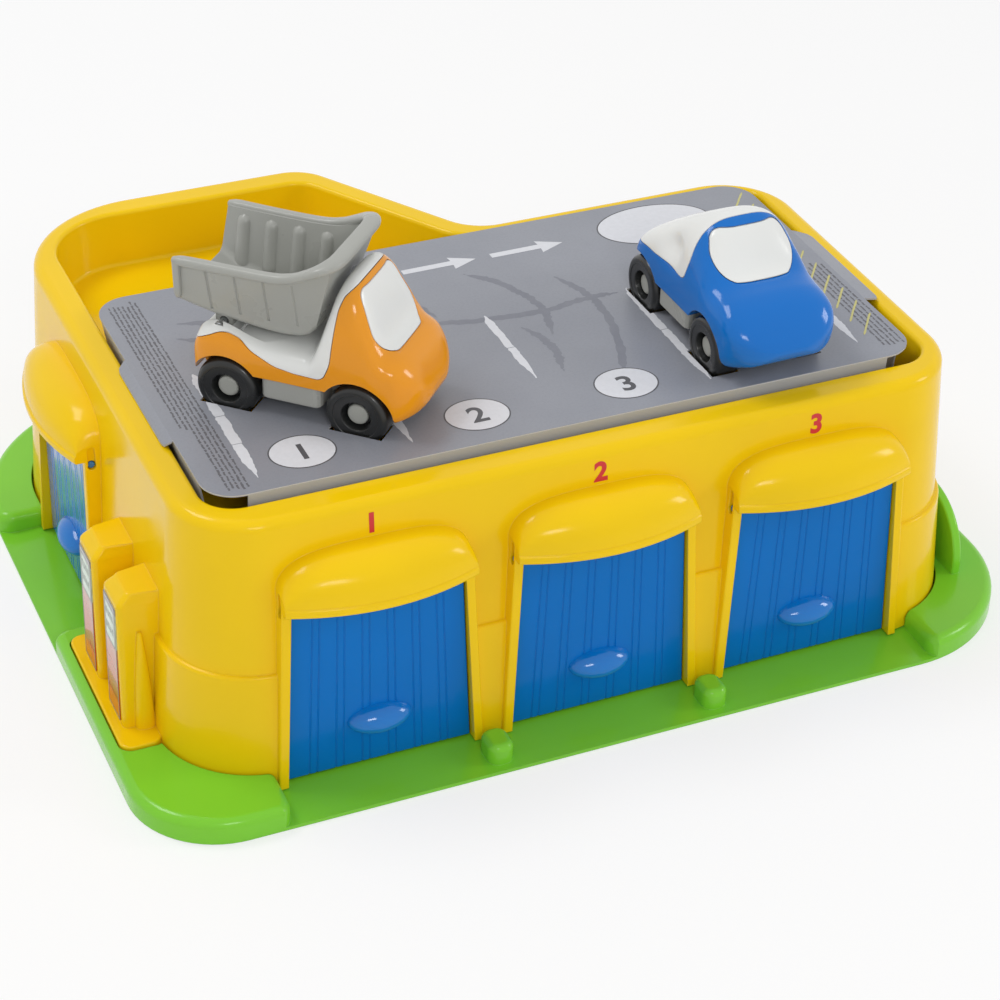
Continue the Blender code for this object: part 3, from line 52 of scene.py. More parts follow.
def addCamera():
    a, e, r = (math.radians(camera[k]) for k in ("azimuth", "height", "roll"))
    right = Vector((math.cos(a), math.sin(a), 0))
    back = Vector((math.sin(a) * math.cos(e), -math.cos(a) * math.cos(e), math.sin(e)))
    up = back.cross(right)
    side = right * math.cos(r) + up * math.sin(r)
    top = up * math.cos(r) - right * math.sin(r)
    data = bpy.data.cameras.new("photoCamera")
    data.lens = camera["lens"]
    data.sensor_width = 36.0
    data.clip_start, data.clip_end = 0.05, 20.0
    eye = bpy.data.objects.new("photoCamera", data)
    bpy.context.scene.collection.objects.link(eye)
    turn = Matrix((side, top, back)).transposed().to_4x4()
    eye.matrix_world = Matrix.Translation(camera["place"]) @ turn
    bpy.context.scene.camera = eye


addCamera()

# Finishes


# short hand for wiring a material
class Nodes:
    def __init__(self, name):
        self.material = bpy.data.materials.new(name)
        self.material.use_nodes = True
        self.tree = self.material.node_tree
        self.shader = self.tree.nodes["Principled BSDF"]
        self.place = self.add("ShaderNodeTexCoord")

    def add(self, kind, **settings):
        node = self.tree.nodes.new(kind)
        for key, value in settings.items():
            if hasattr(node, key):
                setattr(node, key, value)
            else:
                node.inputs[key.replace("_", " ")].default_value = value
        return node

    def link(self, a, b):
        self.tree.links.new(a, b)

    def noise(self, scale, detail=2.0, rough=0.5):
        node = self.add("ShaderNodeTexNoise")
        node.inputs["Scale"].default_value = scale
        node.inputs["Detail"].default_value = detail
        node.inputs["Roughness"].default_value = rough
        self.link(self.place.outputs["Object"], node.inputs["Vector"])
        return node.outputs["Fac"]

    def span(self, value, low, high, start=0.3, end=0.7):
        node = self.add("ShaderNodeMapRange")
        for key, number in (("From Min", start), ("From Max", end), ("To Min", low), ("To Max", high)):
            node.inputs[key].default_value = number
        self.link(value, node.inputs["Value"])
        return node.outputs["Result"]

    def maths(self, verb, a, b=None):
        node = self.add("ShaderNodeMath", operation=verb)
        for socket, value in zip(node.inputs, (a, b)):
            if value is None:
                continue
            if isinstance(value, (int, float)):
                socket.default_value = value
            else:
                self.link(value, socket)
        return node.outputs[0]

    def blend(self, share, a, b):
        node = self.add("ShaderNodeMix", data_type="RGBA")
        for socket, value in ((node.inputs[0], share), (node.inputs[6], a), (node.inputs[7], b)):
            if isinstance(value, tuple):
                socket.default_value = (*value, 1.0)
            elif isinstance(value, (int, float)):
                socket.default_value = value
            else:
                self.link(value, socket)
        return node.outputs[2]

    def axes(self):
        node = self.add("ShaderNodeSeparateXYZ")
        self.link(self.place.outputs["Object"], node.inputs[0])
        return node.outputs

    def finish(self, colour, roughness, height=None, strength=0.1, depth=0.0002, edge=None):
        self.link(colour, self.shader.inputs["Base Color"])
        self.link(roughness, self.shader.inputs["Roughness"])
        normal = None
        if edge:
            normal = edge.outputs["Normal"]
        if height is not None:
            bump = self.add("ShaderNodeBump")
            bump.inputs["Strength"].default_value = strength
            bump.inputs["Distance"].default_value = depth
            self.link(height, bump.inputs["Height"])
            if normal:
                self.link(normal, bump.inputs["Normal"])
            normal = bump.outputs["Normal"]
        if normal:
            self.link(normal, self.shader.inputs["Normal"])
        return self.material


def shade(colour, factor):
    return tuple(min(1.0, c * factor) for c in colour)


plastic = dict(flowScale=14.0, darkest=0.955, lightest=1.02, scuffScale=260.0, paler=0.35, edgeStart=0.72,
               edgeEnd=0.97, roughScale=55.0, smoothest=0.8, roughest=1.35, peelScale=650.0, peelDepth=0.0003,
               coatRough=0.04, index=1.5)


# glossy injection moulded plastic: slight flow mottling, softened and slightly paler edges, faint orange peel
def mouldedPlastic(name, colour, roughness=0.16, coat=0.12, rounding=0.6, wear=0.25, grain=0.05, gloss=0.24):
    n, p = Nodes(name), plastic
    edge = n.add("ShaderNodeBevel", samples=6)
    edge.inputs["Radius"].default_value = rounding * mm
    flow = n.span(n.noise(p["flowScale"], 3.0), 0.0, 1.0)
    base = n.blend(flow, shade(colour, p["darkest"]), shade(colour, p["lightest"]))
    geometry = n.add("ShaderNodeNewGeometry")
    facing = n.add("ShaderNodeVectorMath", operation="DOT_PRODUCT")
    n.link(edge.outputs["Normal"], facing.inputs[0])
    n.link(geometry.outputs["Normal"], facing.inputs[1])
    rubbed = n.span(facing.outputs["Value"], wear, 0.0, p["edgeStart"], p["edgeEnd"])
    scuffed = n.maths("MULTIPLY", rubbed, n.span(n.noise(p["scuffScale"], 3.0), 0.1, 1.0))
    pale = tuple(c + (1 - c) * p["paler"] for c in colour)
    worn = n.blend(scuffed, base, pale)
    rough = n.span(n.noise(p["roughScale"], 4.0), roughness * p["smoothest"], roughness * p["roughest"])
    peel = n.noise(p["peelScale"], 2.0)
    n.shader.inputs["Specular IOR Level"].default_value = gloss
    n.shader.inputs["Coat Weight"].default_value = coat
    n.shader.inputs["Coat Roughness"].default_value = p["coatRough"]
    n.shader.inputs["IOR"].default_value = p["index"]
    return n.finish(worn, rough, peel, grain, p["peelDepth"], edge)


yellowPlastic = mouldedPlastic("yellowPlastic", (0.895, 0.585, 0.003), coat=0.05, gloss=0.17)
greenPlastic = mouldedPlastic("greenPlastic", (0.205, 0.6, 0.03), 0.2)
doorBlue = mouldedPlastic("doorBlue", (0.001, 0.157, 0.53), 0.17, 0.05, rounding=0.25, gloss=0.1)
# the handle is the door's own blue, made lighter here as a painted highlight
handleBluePaintedHighlight = mouldedPlastic("handleBluePaintedHighlight", (0.001, 0.18, 0.58), 0.1, 0.25, rounding=0.25, gloss=0.32)
# the side door is the front doors' blue, made lighter here as a painted reflection
sideBluePaintedReflection = mouldedPlastic("sideBluePaintedReflection", (0.001, 0.18, 0.6), 0.14, 0.4, rounding=0.25, gloss=0.6)
carBlue = mouldedPlastic("carBlue", (0.001, 0.155, 0.56), 0.12, 0.2, rounding=0.5, gloss=0.2)
orangePlastic = mouldedPlastic("orangePlastic", (0.835, 0.318, 0.01), 0.14, 0.2, rounding=0.5)
whitePlastic = mouldedPlastic("whitePlastic", (0.8, 0.81, 0.79), 0.2, rounding=0.5, wear=0.0, gloss=0.4)
greyPlastic = mouldedPlastic("greyPlastic", (0.368, 0.373, 0.345), 0.3, 0.1, rounding=0.4, wear=0.15,
                             gloss=0.35)
hubGrey = mouldedPlastic("hubGrey", (0.38, 0.385, 0.35), 0.32, 0.1, rounding=0.4, wear=0.1, gloss=0.35)
tyreBlack = mouldedPlastic("tyreBlack", (0.014, 0.015, 0.015), 0.3, 0.2, rounding=0.4, wear=0.04,
                           grain=0.12, gloss=0.4)


def screwSteel():
    n = Nodes("screwSteel")
    n.shader.inputs["Metallic"].default_value = 1.0
    turnings = n.noise(900.0, 2.0)
    colour = n.blend(n.span(turnings, 0.0, 1.0), (0.42, 0.43, 0.45), (0.62, 0.63, 0.64))
    return n.finish(colour, n.span(n.noise(300.0), 0.2, 0.42), turnings, 0.15, 0.0001)


# print on the card: slightly uneven ink
def inkPaint(name, colour, rough=0.55):
    n = Nodes(name)
    mottle = n.span(n.noise(420.0, 4.0, 0.65), 0.0, 1.0, 0.35, 0.65)
    base = n.blend(mottle, shade(colour, 0.95), colour)
    return n.finish(base, n.span(n.noise(90.0), rough * 0.85, rough * 1.15), n.noise(1500.0), 0.06, 0.0001)


steel = screwSteel()
whiteInk = inkPaint("whiteInk", (0.7, 0.71, 0.75))
numberInk = inkPaint("numberInk", (0.085, 0.085, 0.095))
rowInk = inkPaint("rowInk", (0.12, 0.12, 0.135))
trackInk = inkPaint("trackInk", (0.212, 0.22, 0.255))
yellowInk = inkPaint("yellowInk", (0.56, 0.52, 0.2))
redInk = inkPaint("redInk", (0.62, 0.02, 0.03), 0.35)


# printed folding board: asphalt grey print outside, bare board inside, pale raw edges at the cuts; the upright
# outer sides get a lighter grey as painted light
def cardBoard():
    n = Nodes("cardBoard")
    card = dict(print=(0.25, 0.262, 0.3), lighter=(0.29, 0.302, 0.342), raw=(0.64, 0.64, 0.65),
                flap=(0.4, 0.42, 0.47), bare=(0.78, 0.76, 0.72), speck=(0.16, 0.16, 0.17),
                under=0.1262, middle=(-0.00375, -0.034))   # underside's level and the tray's middle, in metres
    cloud = n.span(n.noise(9.0, 4.0, 0.6), 0.0, 1.0, 0.35, 0.68)
    speck = n.span(n.noise(900.0, 3.0, 0.7), 0.0, 0.16, 0.45, 0.7)
    ink = n.blend(cloud, card["print"], card["lighter"])
    asphalt = n.blend(speck, ink, card["speck"])
    geometry = n.add("ShaderNodeNewGeometry")
    split = n.add("ShaderNodeSeparateXYZ")
    n.link(geometry.outputs["Normal"], split.inputs[0])
    flat = n.maths("ABSOLUTE", split.outputs["Z"])
    upright = n.maths("LESS_THAN", flat, 0.5)
    high = n.maths("GREATER_THAN", n.axes()["Z"], card["under"])
    cut = n.maths("MULTIPLY", upright, high)
    # painted light: upright outer faces take a lighter grey, standing in for light falling on the flaps
    withPaintedLitFlaps = n.blend(upright, asphalt, card["flap"])
    ways = [n.maths("MULTIPLY", split.outputs[axis], n.maths("SUBTRACT", n.axes()[axis], middle))
            for axis, middle in zip("XY", card["middle"])]
    within = n.maths("MULTIPLY", upright, n.maths("LESS_THAN", n.maths("ADD", *ways), 0.0))
    inside = n.maths("MAXIMUM", within, n.maths("LESS_THAN", split.outputs["Z"], -0.5))
    colour = n.blend(cut, n.blend(inside, withPaintedLitFlaps, card["bare"]), card["raw"])
    n.shader.inputs["Coat Weight"].default_value = 0.15
    n.shader.inputs["Coat Roughness"].default_value = 0.25
    return n.finish(colour, n.span(n.noise(40.0, 3.0), 0.36, 0.5), n.noise(500.0, 3.0), 0.05, 0.0001)


board = cardBoard()


# give pieces that keep the frame's own mesh their finish
def dress(names, finish):
    for name in names:
        nodes[name].data.materials.clear()
        nodes[name].data.materials.append(finish)


dress([f"base_screw_{k}" for k in (1, 2, 3, 4)] + ["tipper_pin"], steel)
dress(["truck_chassis", "car_chassis"], greyPlastic)
print("finishes done")

# Mesh tools, in millimetres from the part's own corner


# a closed skin through equal rings of points; bent faces are split
def skin(rings, capped=True):
    bm = bmesh.new()
    layers = [[bm.verts.new(Vector(p)) for p in ring] for ring in rings]
    for low, high in zip(layers, layers[1:]):
        for i in range(len(low)):
            j = (i + 1) % len(low)
            bm.faces.new((low[i], low[j], high[j], high[i]))
    if capped:
        bm.faces.new(list(reversed(layers[0])))
        bm.faces.new(layers[-1])
    bmesh.ops.recalc_face_normals(bm, faces=bm.faces)
    bent = []
    for face in bm.faces:
        middle = face.calc_center_median()
        if any(abs((v.co - middle).dot(face.normal)) > 0.0005 for v in face.verts):
            bent.append(face)
    bmesh.ops.triangulate(bm, faces=bent)
    return bm


# a quarter of a circle as (in, down) steps, from its upright end to its level end
def quarterRound(radius, steps):
    turns = [math.pi / 2 * k / steps for k in range(steps + 1)]
    return [(radius * (1 - math.cos(a)), radius * (1 - math.sin(a))) for a in turns]


# points round a polygon of (x, y, radius, segments) corners, moved inward by inset
def filleted(corners, inset=0.0):
    count = len(corners)
    lines = []
    for k in range(count):
        a, b = Vector(corners[k][:2]), Vector(corners[(k + 1) % count][:2])
        along = (b - a).normalized()
        lines.append((a + Vector((-along.y, along.x)) * inset, along))
    points = []
    for k in range(count):
        (p, d), (q, e) = lines[k - 1], lines[k]
        turn = d.x * e.y - d.y * e.x
        t = ((q - p).x * e.y - (q - p).y * e.x) / turn
        corner = p + d * t
        radius, segments = corners[k][2], corners[k][3]
        radius = max(0.05, radius - inset if turn > 0 else radius + inset)
        half = math.atan2(turn, d.dot(e)) / 2
        start = corner - d * abs(radius * math.tan(half))
        centre = start + Vector((-d.y, d.x)) * radius * (1.0 if turn > 0 else -1.0)
        arm = start - centre
        for i in range(segments + 1):
            c, s = math.cos(2 * half * i / segments), math.sin(2 * half * i / segments)
            points.append((centre.x + arm.x * c - arm.y * s, centre.y + arm.x * s + arm.y * c))
    return points


def level(points, z):
    return [(x, y, z) for x, y in points]


def pad(corners, levels):
    return skin([level(filleted(corners, inset), z) for inset, z in levels])


def block(x0, x1, y0, y1, z0, z1):
    base = [(x0, y0), (x1, y0), (x1, y1), (x0, y1)]
    return skin([level(base, z0), level(base, z1)])


def roundedBlock(x0, x1, y0, y1, radius, levels, segments=8):
    corners = [(x0, y0, radius, segments), (x1, y0, radius, segments),
               (x1, y1, radius, segments), (x0, y1, radius, segments)]
    return pad(corners, levels)


# revolve (radius, height) points about Z, then lay the result along axis
def turned(profile, segments=64, axis="Z"):
    rings = []
    bm = bmesh.new()
    for radius, height in profile:
        if radius == 0:
            rings.append([bm.verts.new((0, 0, height))])
            continue
        rings.append([bm.verts.new((radius * math.cos(2 * math.pi * i / segments),
                                    radius * math.sin(2 * math.pi * i / segments), height))
                      for i in range(segments)])
    pairs = list(zip(rings, rings[1:]))
    if profile[0][0] or profile[-1][0]:
        pairs.append((rings[-1], rings[0]))
    for low, high in pairs:
        for i in range(segments):
            j = (i + 1) % segments
            if len(low) == 1:
                bm.faces.new((low[0], high[j], high[i]))
            elif len(high) == 1:
                bm.faces.new((low[i], low[j], high[0]))
            else:
                bm.faces.new((low[i], low[j], high[j], high[i]))
    if axis == "X":
        bmesh.ops.rotate(bm, matrix=Matrix.Rotation(math.pi / 2, 3, "Y"), verts=bm.verts)
    if axis == "Y":
        bmesh.ops.rotate(bm, matrix=Matrix.Rotation(-math.pi / 2, 3, "X"), verts=bm.verts)
    bmesh.ops.recalc_face_normals(bm, faces=bm.faces)
    return bm


def rod(radius, halfLength, segments=32, axis="X"):
    ends = [(0, -halfLength), (radius, -halfLength), (radius, halfLength), (0, halfLength)]
    return turned(ends, segments, axis)


def moved(bm, x=0.0, y=0.0, z=0.0, turn=0.0):
    if turn:
        bmesh.ops.rotate(bm, matrix=Matrix.Rotation(math.radians(turn), 3, "Z"), verts=bm.verts)
    bmesh.ops.translate(bm, vec=Vector((x, y, z)), verts=bm.verts)
    return bm


def gathered(*parts):
    whole = bmesh.new()
    for bm in parts:
        mesh = bpy.data.meshes.new("loose")
        bm.to_mesh(mesh)
        bm.free()
        whole.from_mesh(mesh)
        bpy.data.meshes.remove(mesh)
    return whole


# turn a flat shape's faces up
def facingUp(bm):
    bmesh.ops.recalc_face_normals(bm, faces=bm.faces)
    if bm.faces[:][0].normal.z < 0:
        bmesh.ops.reverse_faces(bm, faces=bm.faces)
    return bm


# cut, join or keep (intersect) one shape after another
def carved(bm, steps):
    verbs = {"cut": "DIFFERENCE", "join": "UNION", "keep": "INTERSECT"}

    def blank(shape):
        mesh = bpy.data.meshes.new("blank")
        shape.to_mesh(mesh)
        shape.free()
        thing = bpy.data.objects.new("blank", mesh)
        bpy.context.scene.collection.objects.link(thing)
        return thing

    target = blank(bm)
    for verb, shape in steps:
        tool = blank(shape)
        step = target.modifiers.new(verb, "BOOLEAN")
        step.operation = verbs[verb]
        step.solver = "EXACT"
        step.object = tool
        graph = bpy.context.evaluated_depsgraph_get()
        result = bpy.data.meshes.new_from_object(target.evaluated_get(graph))
        target.modifiers.clear()
        old, target.data = target.data, result
        bpy.data.meshes.remove(old)
        used = tool.data
        bpy.data.objects.remove(tool)
        bpy.data.meshes.remove(used)
    out = bmesh.new()
    out.from_mesh(target.data)
    last = target.data
    bpy.data.objects.remove(target)
    bpy.data.meshes.remove(last)
    bmesh.ops.remove_doubles(out, verts=out.verts, dist=0.004)
    bmesh.ops.dissolve_degenerate(out, edges=out.edges, dist=0.004)
    return out


garageFrame = Matrix.Scale(mm, 4) @ Matrix.Translation(partOrigin)


# turn a shape in millimetres into a piece of the scene that rides on a body
def addPiece(name, bm, finish, body, replaced=(), at=garageFrame, sharp=38.0, weighted=True):
    bm.transform(at)
    mesh = bpy.data.meshes.new(name)
    bm.to_mesh(mesh)
    bm.free()
    mesh.materials.append(finish)
    mesh.shade_smooth()
    mesh.set_sharp_from_angle(angle=math.radians(sharp))
    piece = bpy.data.objects.new(name, mesh)
    bpy.context.scene.collection.objects.link(piece)
    if weighted:
        even = piece.modifiers.new("even", "WEIGHTED_NORMAL")
        even.keep_sharp = True
        even.weight = 90
    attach(piece, body)
    if replaced:
        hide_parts(*replaced)
    return piece


# value at x on a smooth line through (x, value) keys
def smoothCurve(keys, x):
    if x <= keys[0][0]:
        return keys[0][1]
    for k in range(len(keys) - 1):
        (x0, v0), (x1, v1) = keys[k], keys[k + 1]
        if x <= x1:
            before, after = keys[max(0, k - 1)], keys[min(len(keys) - 1, k + 2)]
            m0 = (v1 - before[1]) / (x1 - before[0])
            m1 = (after[1] - v0) / (after[0] - x0)
            t, span = (x - x0) / (x1 - x0), x1 - x0
            return ((2 * t ** 3 - 3 * t ** 2 + 1) * v0 + (t ** 3 - 2 * t ** 2 + t) * span * m0
                    + (-2 * t ** 3 + 3 * t ** 2) * v1 + (t ** 3 - t ** 2) * span * m1)
    return keys[-1][1]


# Garage shell

shell = dict(wall=2.5, foot=3.3, left=20.2, right=371.4, front=22.1, back=226.9, reach=308.0, neck=225.0,
             draft=0.062, shoulder=55.5, shoulderRound=1.5, step=1.8, rim=122.5, rimRound=4.5,
             radii=(41, 41, 41, 12, 31, 64), fine=(18, 18, 18, 10, 14, 22))
well = dict(left=41.5, right=352.5, front=45.5, back=208.5, reach=285.0, neck=211.5, floor=97.0, edgeRound=2.0,
            floorRound=2.0, draft=1.2, straightInset=0.6, straightTop=112.0,
            radii=(14, 14, 14, 22, 14, 32), fine=(10, 10, 10, 12, 10, 14))
doorway = dict(footWidth=79.0, topWidth=71.0, lip=86.5, post=3.8, proud=2.2, postDraft=0.03, postDepth=10.0,
               postRise=4.0, postRound=0.8, slab=3.0, first=100.0, pitch=95.3, sideCentre=188.0, setBack=2.0,
               thick=2.4, hingeDrop=2.2)
hingeSlot = dict(radius=1.6, outward=3.2, rise=7.2, fall=0.4, hole=1.8)
canopy = dict(top=107.0, bow=11.0, endBow=3.1, root=8.7, hollowRoot=20.0, skin=2.2, band=3.8, bandShare=0.6,
              bandProud=0.8, fullness=3.4, roundness=0.85,
              bandShape=((0.06, 0.35), (0.14, 0.8), (0.3, 1.0), (0.75, 1.0), (0.92, 0.75), (1.0, 0.3)))
pumps = dict(start=56.0, end=135.0, edge=4.3, top=12.4, corner=5.0, width=22.5, first=79.0, pitch=34.0,
             face=8.3, head=75.0, lean=1.2, chamfer=4.5, headTuck=2.2, round=2.5)
nozzle = dict(top=58.0, along=0.4, sunk=1.0, roundness=0.8,
              half=[(11.4, 4.2), (30, 3.4), (46, 2.2), (58, 0.9)],
              proud=[(11.4, 3.2), (30, 2.8), (46, 2.2), (55, 1.2), (58, 0.3)])
hingeHeight = doorway["lip"] - doorway["hingeDrop"]
hingeDepth = doorway["setBack"] + doorway["thick"] / 2
doorways = [("front_door_left", doorway["first"], shell["front"], 0.0),
            ("front_door_middle", doorway["first"] + doorway["pitch"], shell["front"], 0.0),
            ("front_door_right", doorway["first"] + 2 * doorway["pitch"], shell["front"], 0.0),
            ("side_door", shell["left"], doorway["sideCentre"], -90.0)]


# plan of the garage: a rectangle with a rounded bay at the left of its back
def outline(size, lean=0.63):
    bay = size["neck"] - lean * (size["reach"] - size["back"])
    spots = [(size["left"], size["front"]), (size["right"], size["front"]), (size["right"], size["back"]),
             (size["neck"], size["back"]), (bay, size["reach"]), (size["left"], size["reach"])]
    return [(x, y, r, f) for (x, y), r, f in zip(spots, size["radii"], size["fine"])]


shellPlan, wellPlan = outline(shell), outline(well)


def wallInset(z):
    return shell["draft"] * (z - shell["foot"]) + (shell["step"] if z > shell["shoulder"] else 0.0)


def doorHalf(z):
    share = (z - doorway["slab"]) / (doorway["lip"] - doorway["slab"])
    return (doorway["footWidth"] + (doorway["topWidth"] - doorway["footWidth"]) * share) / 2


# what the roof well takes out of the shell
def wellSolid():
    w, rim = well, shell["rim"]
    levels = [(w["draft"] + down, w["floor"] + across) for across, down in quarterRound(w["floorRound"], 6)]
    levels.append((w["straightInset"], w["straightTop"]))
    levels += [(-across, rim - down) for across, down in quarterRound(w["edgeRound"], 6)]
    levels.append((-w["edgeRound"] - 0.01, rim + 4.0))
    return pad(wellPlan, levels)


# the outside of the shell as one block: drafted wall, rounded shoulder, rolled rim
def wallSolid():
    s = shell
    rimInset = wallInset(s["rim"] - s["rimRound"])
    low, above = wallInset(s["shoulder"]) - 0.09, wallInset(s["shoulder"] + 0.1)
    levels = [(0.0, s["foot"])]
    levels += [(low + across, s["shoulder"] - down) for across, down in quarterRound(s["shoulderRound"], 5)]
    levels += [(above - 0.25, s["shoulder"] + 0.02), (above, s["shoulder"] + 0.35)]
    levels += [(rimInset + across, s["rim"] - down) for across, down in quarterRound(s["rimRound"], 9)]
    return pad(shellPlan, levels)


# the garage's inside, one wall in from the outside and below the roof well
def hollowSolid():
    s, w = shell, well
    rimInset = wallInset(s["rim"] - s["rimRound"])
    t, shoulder = s["wall"], s["shoulder"]
    room = pad(shellPlan, [(t, s["foot"] - 5), (t, s["foot"]), (wallInset(shoulder) + t, shoulder - t),
                           (wallInset(shoulder + 0.1) + t, shoulder),
                           (rimInset + t, s["rim"] - t - 2.0), (rimInset + t + 2.0, s["rim"] - t)])
    tray = pad(wellPlan, [(w["draft"] - t, w["floor"] - t), (-t, s["rim"] - t), (-t, s["rim"] + 5)])
    return carved(room, [("cut", tray)])


def doorwayBlock():
    rings = []
    radius, depth = doorway["postRound"], doorway["postDepth"]
    for z in (shell["foot"], doorway["lip"] + doorway["postRise"]):
        half = doorHalf(z) + doorway["post"]
        face = doorway["postDraft"] * (z - shell["foot"]) - doorway["proud"]
        corners = [(-half, face, radius, 5), (half, face, radius, 5),
                   (half, depth, 0.1, 1), (-half, depth, 0.1, 1)]
        rings.append(level(filleted(corners), z))
    return skin(rings)


# a bulging hood over a doorway; with a shrink it is the hollow behind its skin
def canopyForm(shrink, root, foot, stations, steps):
    c = canopy
    half = doorHalf(doorway["lip"]) + (doorway["post"] - 0.05 if shrink == 0 else 0.0)
    tall = c["top"] - doorway["lip"] - shrink
    band = c["bandProud"] if shrink == 0 else 0.0
    rings = []
    for i in range(stations + 1):
        x = -half * math.cos(math.pi * i / stations)
        height = tall * (1 - abs(x / (half + 0.35)) ** c["fullness"]) ** (1 / c["fullness"])
        bow = c["endBow"] + (c["bow"] - c["endBow"]) * (1 - (x / half) ** 2) - shrink
        lip = doorway["lip"] + min(c["band"], c["bandShare"] * height)
        top = doorway["lip"] + height
        ring = [(x, root, foot), (x, root, top)]
        for k in range(1, steps + 1):
            a = math.pi / 2 * k / steps
            out, up = (wave ** c["roundness"] for wave in (math.sin(a), math.cos(a)))
            ring.append((x, root - (root + bow) * out, lip + (top - lip) * up))
        if shrink == 0:   # the band stands a little proud and is rounded
            drop = lip - doorway["lip"]
            for share, out in c["bandShape"]:
                ring.append((x, -bow - band * out, lip - drop * share))
        ring.append((x, -bow - band * (0.1 if shrink == 0 else 1), foot))
        rings.append(ring)
    return skin(rings)


# cuts right through the wall, front and back
def doorwayOpening():
    front, back = -30.0, 20.0
    rings = []
    for z in (shell["foot"] - 2.0, doorway["lip"] + 0.05):
        half = doorHalf(z)
        rings.append([(-half, front, z), (half, front, z), (half, back, z), (-half, back, z)])
    return skin(rings)


# the moulded recess over each hinge hole, round at both ends
def slotRecess(side):
    h = hingeSlot
    outer = (doorHalf(hingeHeight) + doorway["post"]) * side
    rings = []
    for x in sorted((outer - h["radius"] * side, outer + h["outward"] * side)):
        ring = []
        for i in range(24):
            a = 2 * math.pi * i / 24
            z = hingeHeight + (h["rise"] if math.sin(a) > 0 else h["fall"])
            ring.append((x, hingeDepth + h["radius"] * math.cos(a), z + h["radius"] * math.sin(a)))
        rings.append(ring)
    return skin(rings)


def atDoorways(shape):
    return gathered(*[moved(shape(), x, y, 0, turn) for _, x, y, turn in doorways])


def pumpIsland(grow, levels):
    p = pumps
    return roundedBlock(p["edge"] - grow, shell["left"] + shell["wall"] / 2 + 4 * grow, p["start"] - grow,
                        p["end"] + grow, p["corner"] + grow, levels)


# an upright box with a chamfered head; share is how far up the chamfer a level is
def pumpBody():
    p = pumps
    rings = []
    knee, head = p["head"] - p["chamfer"], p["head"]
    levels = [(shell["foot"] + 0.5, 0.0), (knee - 0.8, 0.0), (knee + 0.2, 0.06), (knee + 1.2, 0.25),
              (head - 1.3, 0.74), (head - 0.7, 0.86), (head - 0.25, 0.96), (head, 1.12)]
    for z, share in levels:
        lean = p["lean"] * (z - shell["foot"]) / (p["head"] - shell["foot"])
        half = p["width"] / 2 - lean
        face = p["face"] + lean + p["chamfer"] * share
        back = shell["left"] + wallInset(z) + shell["wall"] / 2
        tuck, radius = p["headTuck"] * share, p["round"]
        corners = [(face, -half + tuck, radius, 8), (back, -half, 0.3, 1),
                   (back, half, 0.3, 1), (face, half - tuck, radius, 8)]
        rings.append(level(filleted(corners), z))
    return skin(rings)


# the tapered ridge on a pump's side that stands for its hose and nozzle
def nozzleRidge():
    foot, steps = pumps["top"] - nozzle["sunk"], 14
    side = -pumps["width"] / 2
    rings = []
    for k in range(steps + 1):
        z = foot + (nozzle["top"] - foot) * k / steps
        half, proud = smoothCurve(nozzle["half"], z), smoothCurve(nozzle["proud"], z)
        ring = [(half, side + 2.0), (-half, side + 2.0)]
        for i in range(13):
            a = math.pi * (1 - i / 12)
            ring.append((half * math.cos(a), side - proud * math.sin(a) ** nozzle["roundness"]))
        rings.append([(x + pumps["face"] + pumps["width"] * nozzle["along"], y, z) for x, y in ring])
    return skin(rings)


def pumpPlace(k):
    return pumps["first"] + k * pumps["pitch"]


def hingeHole():
    pin = rod(hingeSlot["hole"], doorHalf(hingeHeight) + 3 * doorway["post"], 24, "X")
    return moved(pin, 0, hingeDepth, hingeHeight)


def garageShell():
    recesses = [moved(slotRecess(side), x, y, 0, turn) for _, x, y, turn in doorways for side in (-1, 1)]
    lip, top = doorway["lip"], pumps["top"]
    island = [(0, shell["foot"]), (0.0, top - 0.9), (0.1, top - 0.5), (0.35, top - 0.2), (0.9, top)]
    return carved(wallSolid(), [
        ("cut", wellSolid()),
        ("cut", hollowSolid()),
        ("join", atDoorways(doorwayBlock)),
        ("join", atDoorways(lambda: canopyForm(0.0, canopy["root"], lip, 36, 12))),
        ("cut", atDoorways(doorwayOpening)),
        ("cut", atDoorways(lambda: canopyForm(canopy["skin"], canopy["hollowRoot"], lip - 1.0, 16, 5))),
        ("cut", atDoorways(hingeHole)),
        ("cut", gathered(*recesses)),
        ("join", pumpIsland(0, island)),
        ("join", gathered(*[moved(pumpBody(), 0, pumpPlace(k)) for k in range(2)])),
        ("join", gathered(*[moved(nozzleRidge(), 0, pumpPlace(k)) for k in range(2)]))])


addPiece("shell_fine", garageShell(), yellowPlastic, "garage", ("garage_shell",))
print("garage shell done")

# Base plate

base = dict(left=0.0, right=395.5, front=0.0, back=241.0, reach=320.0, neck=232.4,
            radii=(38, 60, 45, 12, 45, 80), fine=(16, 20, 16, 8, 16, 26))
basePlan = outline(base)
pavement = dict(top=11.0, edge=4.0, slab=3.0, lip=1.8, endRadius=8.0, leftMargin=0.6, rightMargin=6.0,
                underShell=12.0)
kerbs = dict(width=11.0, depth=14.0, top=11.0, fromEdge=10.5, shift=2.6, edge=3.0, corner=4.5)
arch = dict(centre=66.5, radius=27.5, rim=6.5, gap=0.8, thick=4.4, panel=1.8, spring=4.5, edge=1.6)
doorwayHalf = doorway["footWidth"] / 2 + doorway["post"]
driveStart = doorway["first"] - doorwayHalf - pavement["leftMargin"]
driveEnd = doorway["first"] + 2 * doorway["pitch"] + doorwayHalf + pavement["rightMargin"]
sideDriveHalf = doorwayHalf + pavement["leftMargin"]


